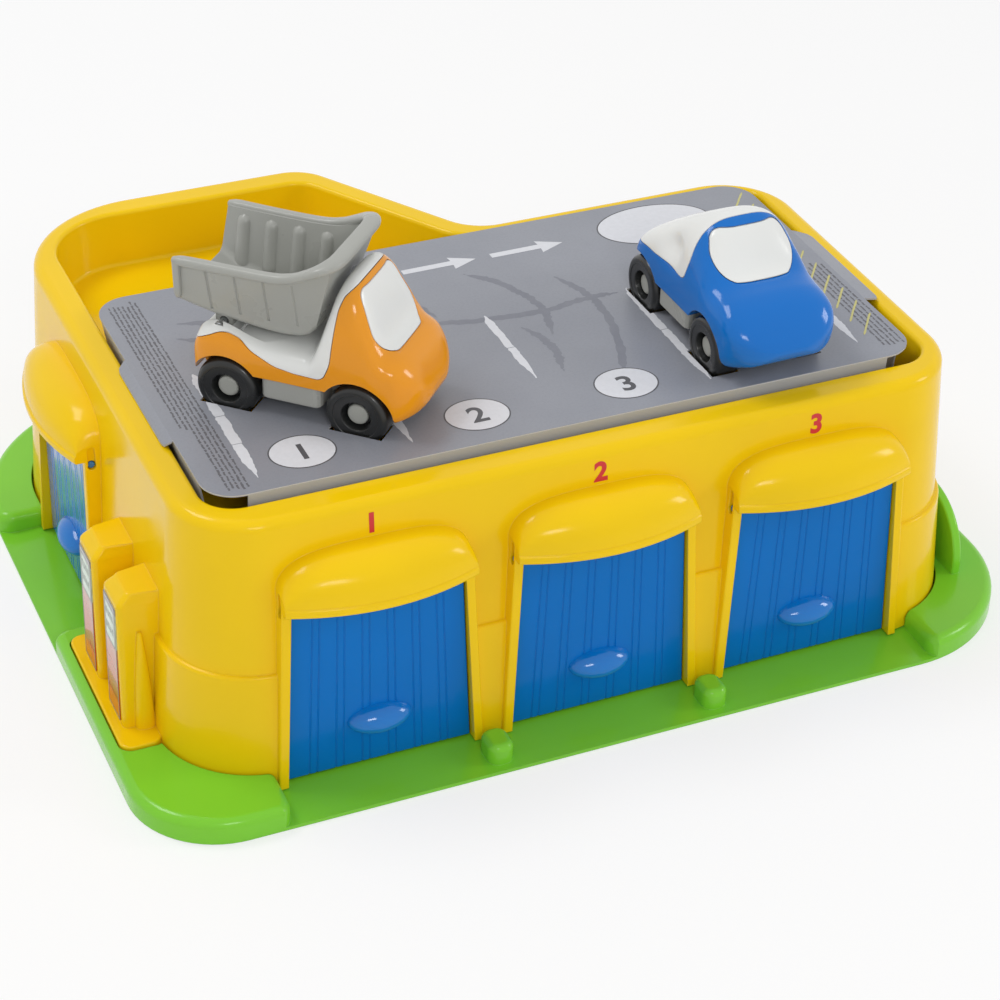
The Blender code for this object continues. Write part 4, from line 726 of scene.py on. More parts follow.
def drivewayCutter(start, end, depth):
    p = pavement
    r, f = p["endRadius"], p["endRadius"] + 2.0
    corners = [(start - f, -20, 1, 1), (end + f, -20, 1, 1), (end + f, -1, 0.1, 1), (end, -1, r, 10),
               (end, depth, 1, 1), (start, depth, 1, 1), (start, -1, r, 10), (start - f, -1, 0.1, 1)]
    fall = (p["slab"] - p["lip"]) / shell["front"]
    rings = [[(x, y, p["slab"] - fall * max(0.0, shell["front"] - y)) for x, y in filleted(corners)]]
    for across, down in quarterRound(p["edge"], 7):
        rings.append(level(filleted(corners, -across), p["top"] - down))
    rings.append(level(filleted(corners, -p["edge"]), p["top"] + 10))
    return skin(rings)


def kerbBlock():
    levels = [(0, pavement["lip"] / 2), (0, kerbs["top"] - kerbs["edge"])]
    levels += [(across, kerbs["top"] - down) for across, down in quarterRound(kerbs["edge"], 6)[1:]]
    half, deep = kerbs["width"] / 2, kerbs["depth"] / 2
    return roundedBlock(-half, half, -deep, deep, kerbs["corner"], levels, 8)


# upright arch shape; levels are (inset, x)
def halfDisc(radius, drop, levels):
    middle, centre = arch["centre"], pavement["top"] + arch["spring"]
    turns = [math.pi * (1 - i / 40) for i in range(41)]
    rings = []
    for inset, x in levels:
        r = radius - inset
        points = [(middle + r * math.cos(a), centre + r * math.sin(a)) for a in turns]
        points = [(middle - r, centre - drop)] + points + [(middle + r, centre - drop)]
        rings.append([(x, y, z) for y, z in points])
    return skin(rings)


def archKerb():
    near = shell["right"] + arch["gap"]
    far = near + arch["thick"]
    edge = [(across, far - down) for across, down in quarterRound(arch["edge"], 5)]
    panel = halfDisc(arch["radius"], arch["spring"] + 1.0, [(0.5, near), (0, near + 0.5)] + edge)
    recess = halfDisc(arch["radius"] - arch["rim"], arch["spring"] - 1.0,
                      [(0.8, near + arch["panel"]), (0.2, near + arch["panel"] + 0.8),
                       (0, far - 1.2), (-0.35, far - 0.35), (-1.2, far), (-1.2, far + 2)])
    return carved(panel, [("cut", recess)])


def basePlate():
    slab, top, under = pavement["slab"], pavement["top"], pavement["underShell"]
    edge = [(across, top - down) for across, down in quarterRound(pavement["edge"], 8)]
    blocks = [moved(kerbBlock(), doorway["first"] + (k + 0.5) * doorway["pitch"] - kerbs["shift"],
                    kerbs["fromEdge"]) for k in range(2)]
    side = drivewayCutter(-sideDriveHalf, sideDriveHalf, shell["left"] + under)
    seat = [(-running, slab), (-running, top - 0.5), (-running - 0.15, top - 0.15),
            (-running - 0.5, top + 0.01), (-running - 0.5, top + 5)]
    return carved(pad(basePlan, [(0.6, 0), (0.15, 0.15), (0, 0.6)] + edge), [
        ("cut", pad(shellPlan, seat)),
        ("cut", pumpIsland(0.6, [(0, slab), (0, top + 5)])),
        ("cut", drivewayCutter(driveStart, driveEnd, shell["front"] + under)),
        ("cut", moved(side, 0, doorway["sideCentre"], 0, -90)),
        ("join", gathered(*blocks)),
        ("join", archKerb())])


addPiece("base_fine", basePlate(), greenPlastic, "garage", ("base_plate",))
print("base plate done")

# Doors

door = dict(sideGap=0.5, footGap=0.6, head=3.0, planks=7, groove=1.0, grooveDepth=0.4, grooveShift=1.6,
            grooveShape=((-0.75, 0.0), (-0.45, 0.12), (-0.2, 0.7), (0.0, 1.0), (0.2, 0.7), (0.45, 0.12),
                         (0.75, 0.0)),
            handleWidth=27.0, handleHeight=12.5, handleReach=6.5, handleLevel=21.0, handleSunk=0.6,
            handlePinch=0.16, pin=1.5, pinReach=3.3, pinEdge=0.3, pinSunk=3.0)
doorFoot = shell["foot"] + door["footGap"] - hingeHeight
doorFace = -doorway["thick"] / 2


# planked panel with rounded edges; its frame stands on the pin axis
def doorPanel():
    foot, face, head = doorFoot, doorFace, door["head"]
    halfFoot = doorHalf(foot + hingeHeight) - door["sideGap"]
    front = []
    for k in range(1, door["planks"]):
        for shift in (-door["grooveShift"], door["grooveShift"]):
            x = 2 * halfFoot * (k / door["planks"] - 0.5) + shift
            for share, depth in door["grooveShape"]:
                front.append((x + share * door["groove"], face + depth * door["grooveDepth"]))
    rings = []
    for inset, z in ((0.5, foot), (0.15, foot + 0.15), (0.0, foot + 0.5),
                     (0.0, head - 0.5), (0.15, head - 0.15), (0.5, head)):
        half = doorHalf(z + hingeHeight) - door["sideGap"]
        ring = [(-half + 0.5, face + inset)]
        ring += [(x * half / halfFoot, y + inset) for x, y in front]
        ring += [(half - 0.5, face + inset), (half - 0.12, face + 0.15 + inset), (half, face + 0.5 + inset),
                 (half, -face - inset), (-half, -face - inset), (-half, face + 0.5 + inset),
                 (-half + 0.12, face + 0.15 + inset)]
        rings.append(level(ring, z))
    return skin(rings)


# a lens shaped bubble, fuller towards its lower edge
def doorHandle():
    steps, sides, sunk = 12, 56, door["handleSunk"]
    rings = []
    for i in range(steps):
        a = math.pi / 2 * i / (steps - 0.4)
        y = doorFace + sunk - (door["handleReach"] + sunk) * math.sin(a)
        middle = doorFoot + door["handleLevel"] - math.sin(a)
        ring = []
        for j in range(sides):
            b = 2 * math.pi * j / sides
            c, s = math.cos(b), math.sin(b)
            lens = 1 - door["handlePinch"] * abs(c) ** 2.5 * abs(s)
            ring.append((door["handleWidth"] / 2 * math.cos(a) * c, y,
                         middle + door["handleHeight"] / 2 * math.cos(a) * s * lens))
        rings.append(ring)
    return skin(rings)


def doorPins():
    radius, edge, reach = door["pin"], door["pinEdge"], (door["pinReach"] + door["pinSunk"]) / 2
    profile = [(0, -reach), (radius - edge, -reach), (radius, -reach + edge),
               (radius, reach - edge), (radius - edge, reach), (0, reach)]
    place = doorHalf(hingeHeight) - door["sideGap"] + reach - door["pinSunk"]
    return [moved(turned(profile, 32, "X"), side * place) for side in (-1, 1)]


for name, x, y, turn in doorways:
    offset = Matrix.Rotation(math.radians(turn), 3, "Z") @ Vector((0, hingeDepth, 0))
    hinge = garageFrame @ Matrix.Translation((x + offset.x, y + offset.y, hingeHeight))
    hinge = hinge @ Matrix.Rotation(math.radians(turn), 4, "Z")
    # the side door's lighter blue is a painted reflection
    addPiece(name + "_fine", gathered(doorPanel(), *doorPins()), sideBluePaintedReflection if turn else doorBlue, name, (name,),
             hinge, 30)
    # each handle's lighter blue is a painted highlight
    addPiece(name + "_handle", doorHandle(), handleBluePaintedHighlight, name, at=hinge, sharp=30)
print("doors done")

# Pump labels: a pale display over a rose to orange field

label = dict(
    foot=14.5, head=68.5, panelFoot=49.0, panelHead=65.5, wave=3.5,   # heights on the pump
    glass=((0.5, 0.66, 0.5), (0.72, 0.82, 0.72)),
    field=[(0.0, (0.5, 0.07, 0.01)), (0.22, (0.62, 0.035, 0.015)), (0.42, (0.56, 0.09, 0.05)),
           (0.6, (0.58, 0.26, 0.21)), (0.75, (0.46, 0.38, 0.36)), (1.0, (0.42, 0.42, 0.42))],
    inset=2.6, proud=0.42, border=0.7, headBorder=0.9, panelGap=0.6, panelIn=1.4, panelLine=0.6,
    barRows=((59.8, 62.8), (53.2, 56.2)), barStart=3.2, barPitch=2.55, barWidth=0.45, barSpan=1.5)


def labelPrint():
    n = Nodes("labelPrint")
    look = label
    height = n.axes()["Z"]
    field = n.add("ShaderNodeValToRGB")
    ramp = field.color_ramp
    while len(ramp.elements) < len(look["field"]):
        ramp.elements.new(0.5)
    for element, (place, colour) in zip(ramp.elements, look["field"]):
        element.position = place
        element.color = (*colour, 1.0)
    foot, head, wave = (look[k] * mm for k in ("foot", "head", "wave"))
    waves = n.span(n.noise(120.0, 2.0), -wave, wave)
    n.link(n.span(n.maths("ADD", height, waves), 0.0, 1.0, foot, head), field.inputs["Fac"])
    inPanel = n.maths("MULTIPLY", n.maths("GREATER_THAN", height, look["panelFoot"] * mm),
                      n.maths("LESS_THAN", height, look["panelHead"] * mm))
    glass = n.blend(n.span(n.noise(200.0), 0.0, 1.0), *look["glass"])
    colour = n.blend(inPanel, field.outputs["Color"], glass)
    n.shader.inputs["Coat Weight"].default_value = 0.6
    return n.finish(colour, n.span(n.noise(60.0), 0.15, 0.3), n.noise(700.0), 0.03, 0.0001)


labelInk = labelPrint()
dress(["pump_label_front", "pump_label_rear"], labelInk)
frameInk = inkPaint("frameInk", (0.2, 0.2, 0.19), 0.3)
readout = inkPaint("readout", (0.12, 0.16, 0.13), 0.3)


# grey border round the label and round its display, with two rows of plain bars for a readout
def labelTrim():
    lean = pumps["lean"] / (pumps["head"] - shell["foot"])
    half = pumps["width"] / 2 - label["inset"] - pumps["lean"]

    def strip(y0, y1, z0, z1):
        rings = []
        for z in (z0, z1):
            front = pumps["face"] + lean * (z - shell["foot"]) - label["proud"]
            near, far = front - 0.06, front + 0.05
            rings.append([(near, y1, z), (near, y0, z), (far, y0, z), (far, y1, z)])
        return skin(rings)

    def frameOf(side, foot, head, line, footLine, headLine):
        return [strip(-side, side, foot, foot + footLine), strip(-side, side, head - headLine, head),
                strip(-side, line - side, foot, head), strip(side - line, side, foot, head)]

    border, gap, knee = label["border"], label["panelGap"], pumps["head"] - pumps["chamfer"]
    edge = frameOf(half, label["foot"], knee - 2.0, border, border, label["headBorder"])
    edge += frameOf(half - label["panelIn"], label["panelFoot"] - gap, label["panelHead"] + gap,
                    label["panelLine"], border, border)
    thick, span = label["barWidth"], label["barSpan"]
    bars = []
    for row, (z0, z1) in enumerate(label["barRows"]):
        for col in range(4):
            y = -half + label["barStart"] + col * label["barPitch"]
            foot = z1 - thick if (row + col) % 2 else z0
            bars += [strip(y, y + thick, z0, z1), strip(y + span - 0.4, y + span, z0, z1),
                     strip(y, y + span, foot, foot + thick)]
    return edge, bars


for k, where in enumerate(("front", "rear")):
    for kind, strips, ink in zip(("border", "readout"), labelTrim(), (frameInk, readout)):
        addPiece(f"label_{kind}_{where}", moved(gathered(*strips), 0, pumpPlace(k)), ink, "garage")
print("labels done")

# Printed parking card: paint lines, rows of fine dashes, tyre marks, arrows and plain bay numbers

cardTop = 126.5
cardForm = dict(left=42.0, right=346.0, front=46.5, back=205.5, corner=14.0, thick=0.8, foot=97.3, lean=2.8,
                rest=122.8, tabStart=92.0, tabEnd=156.0, leftReach=3.6, rightReach=8.5, flapStart=15.0)
cardPrint = dict(
    lines=[(64.0, 55.5, 135.5, 4.3, 34.0), (127.0, 57.0, 136.0, 3.5, 60.0), (190.5, 83.0, 136.0, 3.5, 40.0),
           (255.5, 57.0, 136.0, 3.7, 48.0), (325.0, 60.5, 136.0, 3.6, 60.0)],
    numbers=[(85.5, 66.5, 13.5, 11.5), (158.0, 66.5, 13.5, 11.5), (222.5, 66.5, 13.5, 11.5),
             (281.8, 74.0, 11.6, 10.2)],
    rows=[(47.4, 99, 198), (49.3, 97, 199), (51.2, 51, 200), (53.1, 52, 200), (55.0, 51, 199),
          (56.9, 50, 201), (58.8, 51, 200), (334.4, 55, 122), (336.6, 54, 126), (338.8, 54, 127),
          (341.0, 55, 127), (343.2, 54, 126)],
    ticks=dict(first=80.0, last=196.0, pitch=11.6, foot=330.6, head=342.0, rise=15.0, width=0.9),
    tyreMarks=[[(196, 172), (206, 161), (213, 146), (215, 130), (211, 112)],
               [(231, 156), (237, 141), (239, 124), (235, 101), (225, 74)],
               [(166, 138), (190, 133), (214, 131), (236, 134), (251, 134)],
               [(201, 122), (206, 108), (206, 95), (203, 84)],
               [(70, 176), (92, 168), (112, 156)],
               [(66, 164), (88, 154), (106, 141)],
               [(128, 178), (146, 172), (163, 160), (172, 142)]],
    tyreMarkWidth=3.6, arrows=[(172.0, 206.0), (213.0, 247.0)], arrowLevel=182.5, arrowHead=(11.0, 5.2),
    patch=(292.0, 183.5, 27.0, 17.0), discRim=0.6, numberHeight=10.5,
    lift=dict(tyreMarks=0.015, nextMark=0.003, rows=0.04, rims=0.042, lines=0.05, discs=0.06, numbers=0.08))
draw = random.Random(7)
wheelSize = dict(radius=12.9, width=11.2, track=49.0, hubTrack=45.0, base=55.0, hub=4.4, recess=6.0,
                 hubThick=2.4, axle=1.8, arch=2.4, trayHalf=12.5, slotReach=11.2, slotHalf=6.3)
vehicles = {"truck": dict(place=(-91.977, -52.760, 134.0), heading=-43.8),
            "car": dict(place=(83.446, -62.968, 134.0), heading=-88.9)}


# each wheel's vehicle middle and heading, then its own place on the vehicle
def wheelPlaces():
    across = (wheelSize["track"] - wheelSize["width"]) / 2
    return [(Vector(v["place"]) - partOrigin, v["heading"], end * wheelSize["base"] / 2, side * across)
            for v in vehicles.values() for end in (-1, 1) for side in (-1, 1)]


# the holes that the wheels sink into
def wheelSlots():
    reach, half = wheelSize["slotReach"], wheelSize["slotHalf"]
    return gathered(*[moved(block(x - reach, x + reach, y - half, y + half, cardTop - 5, cardTop + 5),
                            middle.x, middle.y, 0, heading) for middle, heading, x, y in wheelPlaces()])


# a tab bent down onto the rim, with eased ends
def cardTab(edge, reach):
    c = cardForm
    under, start, end = cardTop - c["thick"], c["tabStart"], c["tabEnd"]
    root = edge - 0.4 * reach
    rings = []
    for y, share in ((start, 0.2), (start + 1.6, 0.86), (start + 4, 1.0), (end - 4, 1.0), (end - 1.6, 0.86),
                     (end, 0.2)):
        out, drop = edge + reach * share, (under - c["rest"]) * share
        section = [(edge, under), (out, under - drop), (out, cardTop - drop), (edge, cardTop),
                   (root, cardTop - 0.05), (root, under + 0.05)]
        rings.append([(x, y, z) for x, z in section])
    return skin(rings)


# a side folded down into the well, leaning in
def cardFlap(x0, y0, x1, y1, dx, dy):
    top = [(x0, y0), (x1, y0), (x1, y1), (x0, y1)]
    foot = [(x + dx, y + dy) for x, y in top]
    return skin([level(foot, cardForm["foot"]), level(top, cardTop - cardForm["thick"] / 2)])


def cardTray():
    c = cardForm
    left, right, front, back = c["left"], c["right"], c["front"], c["back"]
    t, start, lean = c["thick"], c["flapStart"], c["lean"]
    deck = roundedBlock(left, right, front, back, c["corner"], [
        (0.1, cardTop - t), (0, cardTop - t + 0.1), (0, cardTop - 0.12), (0.15, cardTop)], 14)
    tabs = [cardTab(left, -c["leftReach"]), cardTab(right, c["rightReach"])]
    flaps = [cardFlap(left + start, front, right - start, front + t, 0, lean),
             cardFlap(left + start, back - t, right - start, back, 0, -lean),
             cardFlap(left, front + start, left + t, back - start, lean + 2.0, 0),
             cardFlap(right - t, front + start, right, back - start, -lean, 0)]
    return carved(deck, [("join", gathered(*tabs)), ("join", gathered(*flaps)), ("cut", wheelSlots())])


addPiece("card_fine", cardTray(), board, "parking_card", ("parking_card",), sharp=30)


def flatShape(points, lift):
    bm = bmesh.new()
    bm.faces.new([bm.verts.new((x, y, cardTop + lift)) for x, y in points])
    bm.normal_update()
    bmesh.ops.triangulate(bm, faces=bm.faces)
    return facingUp(bm)


# a flat painted stroke along points (x, y) with uneven edges
def brushStroke(points, width, ragged=0.12, lift=cardPrint["lift"]["lines"], taper=(3.0, 3.0)):
    left, right = [], []
    total = sum((Vector(b) - Vector(a)).length for a, b in zip(points, points[1:]))
    gone, wander = 0.0, 0.0
    for k, p in enumerate(points):
        a, b = Vector(points[max(0, k - 1)]), Vector(points[min(len(points) - 1, k + 1)])
        along = (b - a).normalized()
        across = Vector((-along.y, along.x))
        if k:
            gone += (Vector(p) - Vector(points[k - 1])).length
        half = width / 2 * max(0.12, min(1.0, (gone + 0.6) / taper[0], (total - gone + 0.6) / taper[1]))
        wander = 0.7 * wander + draw.uniform(-1, 1) * width * ragged * 0.5
        left.append(Vector(p) + across * (half + wander * 0.5 + draw.uniform(-1, 1) * width * ragged * 0.45))
        right.append(Vector(p) - across * (half - wander * 0.5 + draw.uniform(-1, 1) * width * ragged * 0.45))
    bm = bmesh.new()
    a = [bm.verts.new((v.x, v.y, cardTop + lift)) for v in left]
    b = [bm.verts.new((v.x, v.y, cardTop + lift)) for v in right]
    for k in range(len(a) - 1):
        bm.faces.new((a[k], b[k], b[k + 1], a[k + 1]))
    return facingUp(bm)


def straight(x0, y0, x1, y1, step=1.4):
    count = max(2, int(math.hypot(x1 - x0, y1 - y0) / step))
    return [(x0 + (x1 - x0) * k / count, y0 + (y1 - y0) * k / count) for k in range(count + 1)]


# a bay line that comes to a brushed point at the front, cracked across here and there
def bayLine(x, near, far, width, longest):
    strokes, y = [], near
    while y < far:
        end = min(far, y + draw.uniform(0.6, 1.0) * longest)
        if far - end < 9:
            end = far
        shift = draw.uniform(-0.15, 0.15)
        ends = (13.0 if y == near else 0.65, 6.0 if end == far else 0.65)
        strokes.append(brushStroke(straight(x + shift, y, x + shift, end), width, 0.13, taper=ends))
        y = end + 0.35
    return strokes


# a row of fine dashes, the size of small print
def dashes(x, near, far):
    lift = cardPrint["lift"]["rows"]
    strokes, y = [], near
    while y < far - 2:
        end = min(far, y + draw.uniform(1.6, 5.2))
        strokes.append(brushStroke(straight(x, y, x, end, 0.8), 0.78, 0.5, lift, (0.4, 0.4)))
        y = end + draw.uniform(0.45, 0.85)
    return strokes


# a slanted yellow line by the right edge
def tick(y):
    t = cardPrint["ticks"]
    return brushStroke(straight(t["foot"], y - t["rise"], t["head"], y), t["width"], 0.2, 0.06, (2.0, 2.0))


# a smooth curve through the mark's points, twelve steps between each two
def tyreMark(mark, lift):
    axes = [[(k, p[i]) for k, p in enumerate(mark)] for i in (0, 1)]
    points = [tuple(smoothCurve(keys, t / 12) for keys in axes) for t in range(12 * (len(mark) - 1) + 1)]
    return brushStroke(points, cardPrint["tyreMarkWidth"], 0.3, lift, (9.0, 9.0))


def disc(x, y, rx, ry, lift, count=72):
    turns = [2 * math.pi * k / count for k in range(count)]
    return flatShape([(x + rx * math.cos(a), y + ry * math.sin(a)) for a in turns], lift)


def arrow(x0, x1):
    y, (long, half) = cardPrint["arrowLevel"], cardPrint["arrowHead"]
    head = x1 - long
    return flatShape([(x0, y - 1.9), (head, y - 1.7), (head - 0.4, y - half), (x1, y), (head - 0.4, y + half),
                      (head, y + 1.9), (x0, y + 1.7)], cardPrint["lift"]["lines"])


# a plain number as a flat shape about its own middle, facing up
def number(text, height, bold):
    curve = bpy.data.curves.new("number", "FONT")
    curve.body = text
    curve.size = height / 0.7
    curve.align_x = "CENTER"
    curve.offset = bold * height
    thing = bpy.data.objects.new("number", curve)
    bpy.context.scene.collection.objects.link(thing)
    mesh = bpy.data.meshes.new_from_object(thing.evaluated_get(bpy.context.evaluated_depsgraph_get()))
    bm = bmesh.new()
    bm.from_mesh(mesh)
    bpy.data.objects.remove(thing)
    bpy.data.curves.remove(curve)
    bpy.data.meshes.remove(mesh)
    return moved(bm, 0, -height / 2, 0)


# print ends where the card is cut for the wheels
def clearOfSlots(bm):
    for middle, heading, x, y in wheelPlaces():
        turn = Matrix.Rotation(math.radians(heading), 3, "Z")
        spot = middle + turn @ Vector((x, y, 0))
        sides = ((turn.col[0], wheelSize["slotReach"]), (turn.col[1], wheelSize["slotHalf"]))
        for axis, reach in sides:
            for way in (-1, 1):
                bmesh.ops.bisect_plane(bm, geom=[*bm.verts, *bm.edges, *bm.faces], dist=1e-5,
                                       plane_co=spot + axis * reach * way, plane_no=axis)
        over = [face for face in bm.faces
                if all(abs((face.calc_center_median() - spot).dot(axis)) < reach for axis, reach in sides)]
        bmesh.ops.delete(bm, geom=over, context="FACES")
    return bm


def onCard(name, shapes, ink):
    addPiece(name, gathered(*shapes), ink, "parking_card", weighted=False)


def printCard():
    c, lift, rim = cardPrint, cardPrint["lift"], cardPrint["discRim"]
    lines = [stroke for line in c["lines"] for stroke in bayLine(*line)]
    onCard("card_bay_lines", [clearOfSlots(gathered(*lines))], whiteInk)
    onCard("card_fine_rows", [dash for row in c["rows"] for dash in dashes(*row)], rowInk)
    t = c["ticks"]
    count = 1 + int((t["last"] - t["first"]) / t["pitch"])
    onCard("card_ticks", [tick(t["first"] + t["pitch"] * k) for k in range(count)], yellowInk)
    marks = [tyreMark(mark, lift["tyreMarks"] + lift["nextMark"] * k) for k, mark in enumerate(c["tyreMarks"])]
    onCard("card_tyre_marks", [clearOfSlots(gathered(*marks))], trackInk)
    onCard("card_arrows", [arrow(*reach) for reach in c["arrows"]], whiteInk)
    discs = c["numbers"] + [c["patch"]]
    onCard("card_disc_rims", [disc(x, y, rx, ry, lift["rims"]) for x, y, rx, ry in discs], numberInk)
    onCard("card_discs", [disc(x, y, rx - rim, ry - rim, lift["discs"]) for x, y, rx, ry in discs], whiteInk)
    numbers = [moved(number(str(k + 1), c["numberHeight"], 0.03), spot[0], spot[1], cardTop + lift["numbers"])
               for k, spot in enumerate(c["numbers"])]
    onCard("card_numbers", numbers, numberInk)


printCard()
print("card done")

# Plain door numbers on the wall over each front door

wallNumber = dict(height=8.2, foot=108.9, lift=0.08, bold=0.055)


def onWall(bm, x):
    for vert in bm.verts:
        z = wallNumber["foot"] + wallNumber["height"] / 2 + vert.co.y
        vert.co = (x + vert.co.x, shell["front"] + wallInset(z) - wallNumber["lift"], z)
    return bm


for k in (1, 2, 3):
    digit = number(str(k), wallNumber["height"], wallNumber["bold"])
    addPiece(f"wall_number_{k}", onWall(digit, doorways[k - 1][1]), redInk, "garage",
             weighted=False)
print("numbers done")

# Wheels and axles


def vehicleFrame(name, x=0.0, y=0.0, z=0.0):
    v = vehicles[name]
    return (Matrix.Scale(mm, 4) @ Matrix.Translation(v["place"])
            @ Matrix.Rotation(math.radians(v["heading"]), 4, "Z") @ Matrix.Translation((x, y, z)))


# rounded tread, then a flat face with a fine step and a hollow round the hub
def tyre():
    w, r, recess = wheelSize["width"], wheelSize["radius"], wheelSize["recess"]
    bore = wheelSize["axle"] + running
    seat = -(wheelSize["track"] - wheelSize["hubTrack"]) / 2 - wheelSize["hubThick"] - running
    profile = [(bore, -w), (r - 1.3, -w), (r - 0.5, 0.35 - w), (r - 0.1, 1.0 - w), (r, 1.8 - w), (r, -2.6)]
    for k in range(1, 8):
        a = math.pi / 2 * k / 7
        profile.append((r - 2.3 * (1 - math.cos(a)), -2.6 + 2.6 * math.sin(a) - 0.02))
    profile += [(r - 3.3, -0.02), (r - 3.45, -0.3), (recess + 0.9, -0.34), (recess + 0.3, -0.5),
                (recess, -0.9), (recess - 0.5, seat + 0.4), (recess - 0.9, seat), (bore, seat)]
    return turned(profile, 72)


def axleWithHubs():
    end = wheelSize["hubTrack"] / 2
    inner = end - wheelSize["hubThick"]
    r = wheelSize["hub"]
    outer = [(0.0, end), (r - 1.6, end - 0.03), (r - 0.8, end - 0.12), (r - 0.3, end - 0.38),
             (r - 0.05, end - 0.8), (r, end - 1.2), (r, inner), (wheelSize["axle"], inner)]
    profile = [(radius, -h) for radius, h in outer] + [(radius, h) for radius, h in reversed(outer)]
    return turned(profile, 48, "Y")


for name in vehicles:
    for end, where in ((1, "front"), (-1, "rear")):
        pair, along = f"{name}_{where}", end * wheelSize["base"] / 2
        body = pair + "_wheels"
        addPiece(pair + "_hubs", axleWithHubs(), hubGrey, body, (pair + "_axle",),
                 vehicleFrame(name, along), 30)
        for side, hand in ((1, "left"), (-1, "right")):
            spot = vehicleFrame(name, along, side * wheelSize["track"] / 2)
            spot = spot @ Matrix.Rotation(math.radians(-90 * side), 4, "X")
            addPiece(f"{pair}_{hand}_tyre", tyre(), tyreBlack, body, (f"{pair}_{hand}_wheel",),
                     spot, 30)
print("wheels done")

# Vehicle bodies: +X forward, +Y left, z from the hubs


# sections along X between a top, a bottom and a half width curve, narrower above the belt
def bodyForm(look, count=40, pinch=None):
    tail, nose = look["top"][0][0], look["top"][-1][0]
    belt, power = look["belt"], look["power"]
    rings = []
    for k in range(81):
        x = (tail + nose) / 2 - (nose - tail) / 2 * math.cos(math.pi * k / 80)
        high, bottom, half = (smoothCurve(look[key], x) for key in ("top", "low", "width"))
        shoulder = min(belt, bottom + 0.5 * (high - bottom))
        roof = 1 - (1 - look["roof"]) * min(1.0, max(0.0, (high - belt - 6) / 20))
        tuck = min(smoothCurve(look["tuck"], x), 0.9 * (shoulder - bottom), 0.6 * half)
        under = [(half * 0.985 - down, bottom + across) for across, down in quarterRound(tuck, 8)]
        ring = [(x, -y, z) for y, z in reversed(under)] + [(x, y, z) for y, z in under]
        for i in range(count + 1):
            a = math.pi * i / count
            rise = math.sin(a) ** (2 / power) if 0 < i < count else 0.0
            spread = math.copysign(abs(math.cos(a)) ** (2 / power), math.cos(a))
            y = half * (1 - (1 - roof) * rise ** 1.4) * spread
            z = shoulder + (high - shoulder) * rise
            ring.append((x, y * pinch(x, z) if pinch else y, z))
        rings.append(ring)
    return skin(rings)


# a side view outline of (x, z, radius, segments) corners, run right across the vehicle
def acrossBody(corners, grow=0.0, half=40.0):
    drawn = filleted(corners, -grow)
    return skin([[(x, -half, z) for x, z in drawn], [(x, half, z) for x, z in drawn]])


def windscreen(look, grow):
    foot, head, halfFoot, halfHead, start, lowRound, highRound = look["screen"]
    corners = [(-halfFoot, foot, lowRound, 14), (halfFoot, foot, lowRound, 14),
               (halfHead, head, highRound, 12), (-halfHead, head, highRound, 12)]
    drawn = filleted(corners, -grow)
    return skin([[(start, y, z) for y, z in drawn], [(90.0, y, z) for y, z in drawn]])


# what is moulded in white: above the low line, behind the front line, and the windscreen
def whitePart(look, grow):
    low, front = look["whiteLow"], look["whiteFront"]
    corners = [(-60, 90, 1, 1), (-60, low[0][1], 1, 1), *low, *front]
    steps = [("join", windscreen(look, grow))]
    if "core" in look:
        end, half, foot = look["core"]
        steps.insert(0, ("join", block(-60, end + grow, -half - grow, half + grow, foot - grow, 90)))
    return carved(acrossBody(corners, grow), steps)


def wheelRooms():
    inner, outer = wheelSize["trayHalf"] - 1.0, 35.5
    return gathered(*[moved(rod(wheelSize["radius"] + wheelSize["arch"], (outer - inner) / 2, 72, "Y"),
                            end * wheelSize["base"] / 2, side * (outer + inner) / 2)
                      for end in (-1, 1) for side in (-1, 1)])


def chassisRoom(look):
    tail, nose, sill = look["tray"]
    reach = wheelSize["base"] / 2 - wheelSize["radius"] - wheelSize["arch"] + 3.0
    half = wheelSize["trayHalf"] + running
    return [("cut", wheelRooms()), ("cut", block(tail - running, nose + running, -half, half, -20, sill)),
            ("cut", block(-reach, reach, -40, 40, -20, sill - 0.02))]


truckLook = dict(
    top=[(-43, 13), (-41.5, 20), (-38, 26.5), (-33, 29), (-27, 28), (-18, 24.5), (-8, 22.5), (3, 22),
         (8.5, 23), (11, 29), (16.2, 48), (18.2, 51.8), (21, 53.4), (24, 52.6), (27, 49.4), (30.5, 42),
         (34.5, 32.6), (37.5, 27.8), (41, 25.8), (44.5, 23.8), (47.8, 20.2), (50.6, 15.8), (52.3, 12.2),
         (53, 10)],
    low=[(-43, 5), (-41, 1), (-37, -0.5), (20, -0.5), (36, -1.2), (44, -0.8), (49, 1), (51.6, 4), (53, 7.5)],
    width=[(-43, 18), (-41.5, 22), (-38, 24.5), (-32, 25.5), (0, 25.2), (30, 25.5), (41.5, 24.2),
           (47.2, 20.2), (50.6, 15.4), (52.3, 10.6), (53, 7.5)],
    tuck=[(-43, 3), (-30, 1.2), (30, 1.2), (44, 4), (50, 6), (53, 3)],
    roof=0.80, belt=19.0, power=4.0, tray=(-38.5, 45.0, 9.0),
    whiteLow=[(-42, 19, 8, 6), (-36, 22, 20, 4), (-30, 24.8, 9, 8), (-24, 24.8, 9, 8), (-16, 19.6, 16, 6),
              (-6, 15.4, 16, 6), (2, 14.2, 20, 4)],
    whiteFront=[(14, 14, 4.0, 12), (17, 21, 16, 8), (19.2, 43.5, 12, 8), (20.8, 48.6, 5, 8),
                (24.6, 52.2, 5, 8), (27, 58, 3, 4), (27, 90, 1, 1)],
    core=(-10.0, 22.0, 18.5), screen=(26.0, 50.0, 21.0, 14.5, 16.0, 8.0, 5.0), pivot=(-31.0, 25.5),
    deck=22.0, channel=19.2, pinHole=(1.9, 21.1))


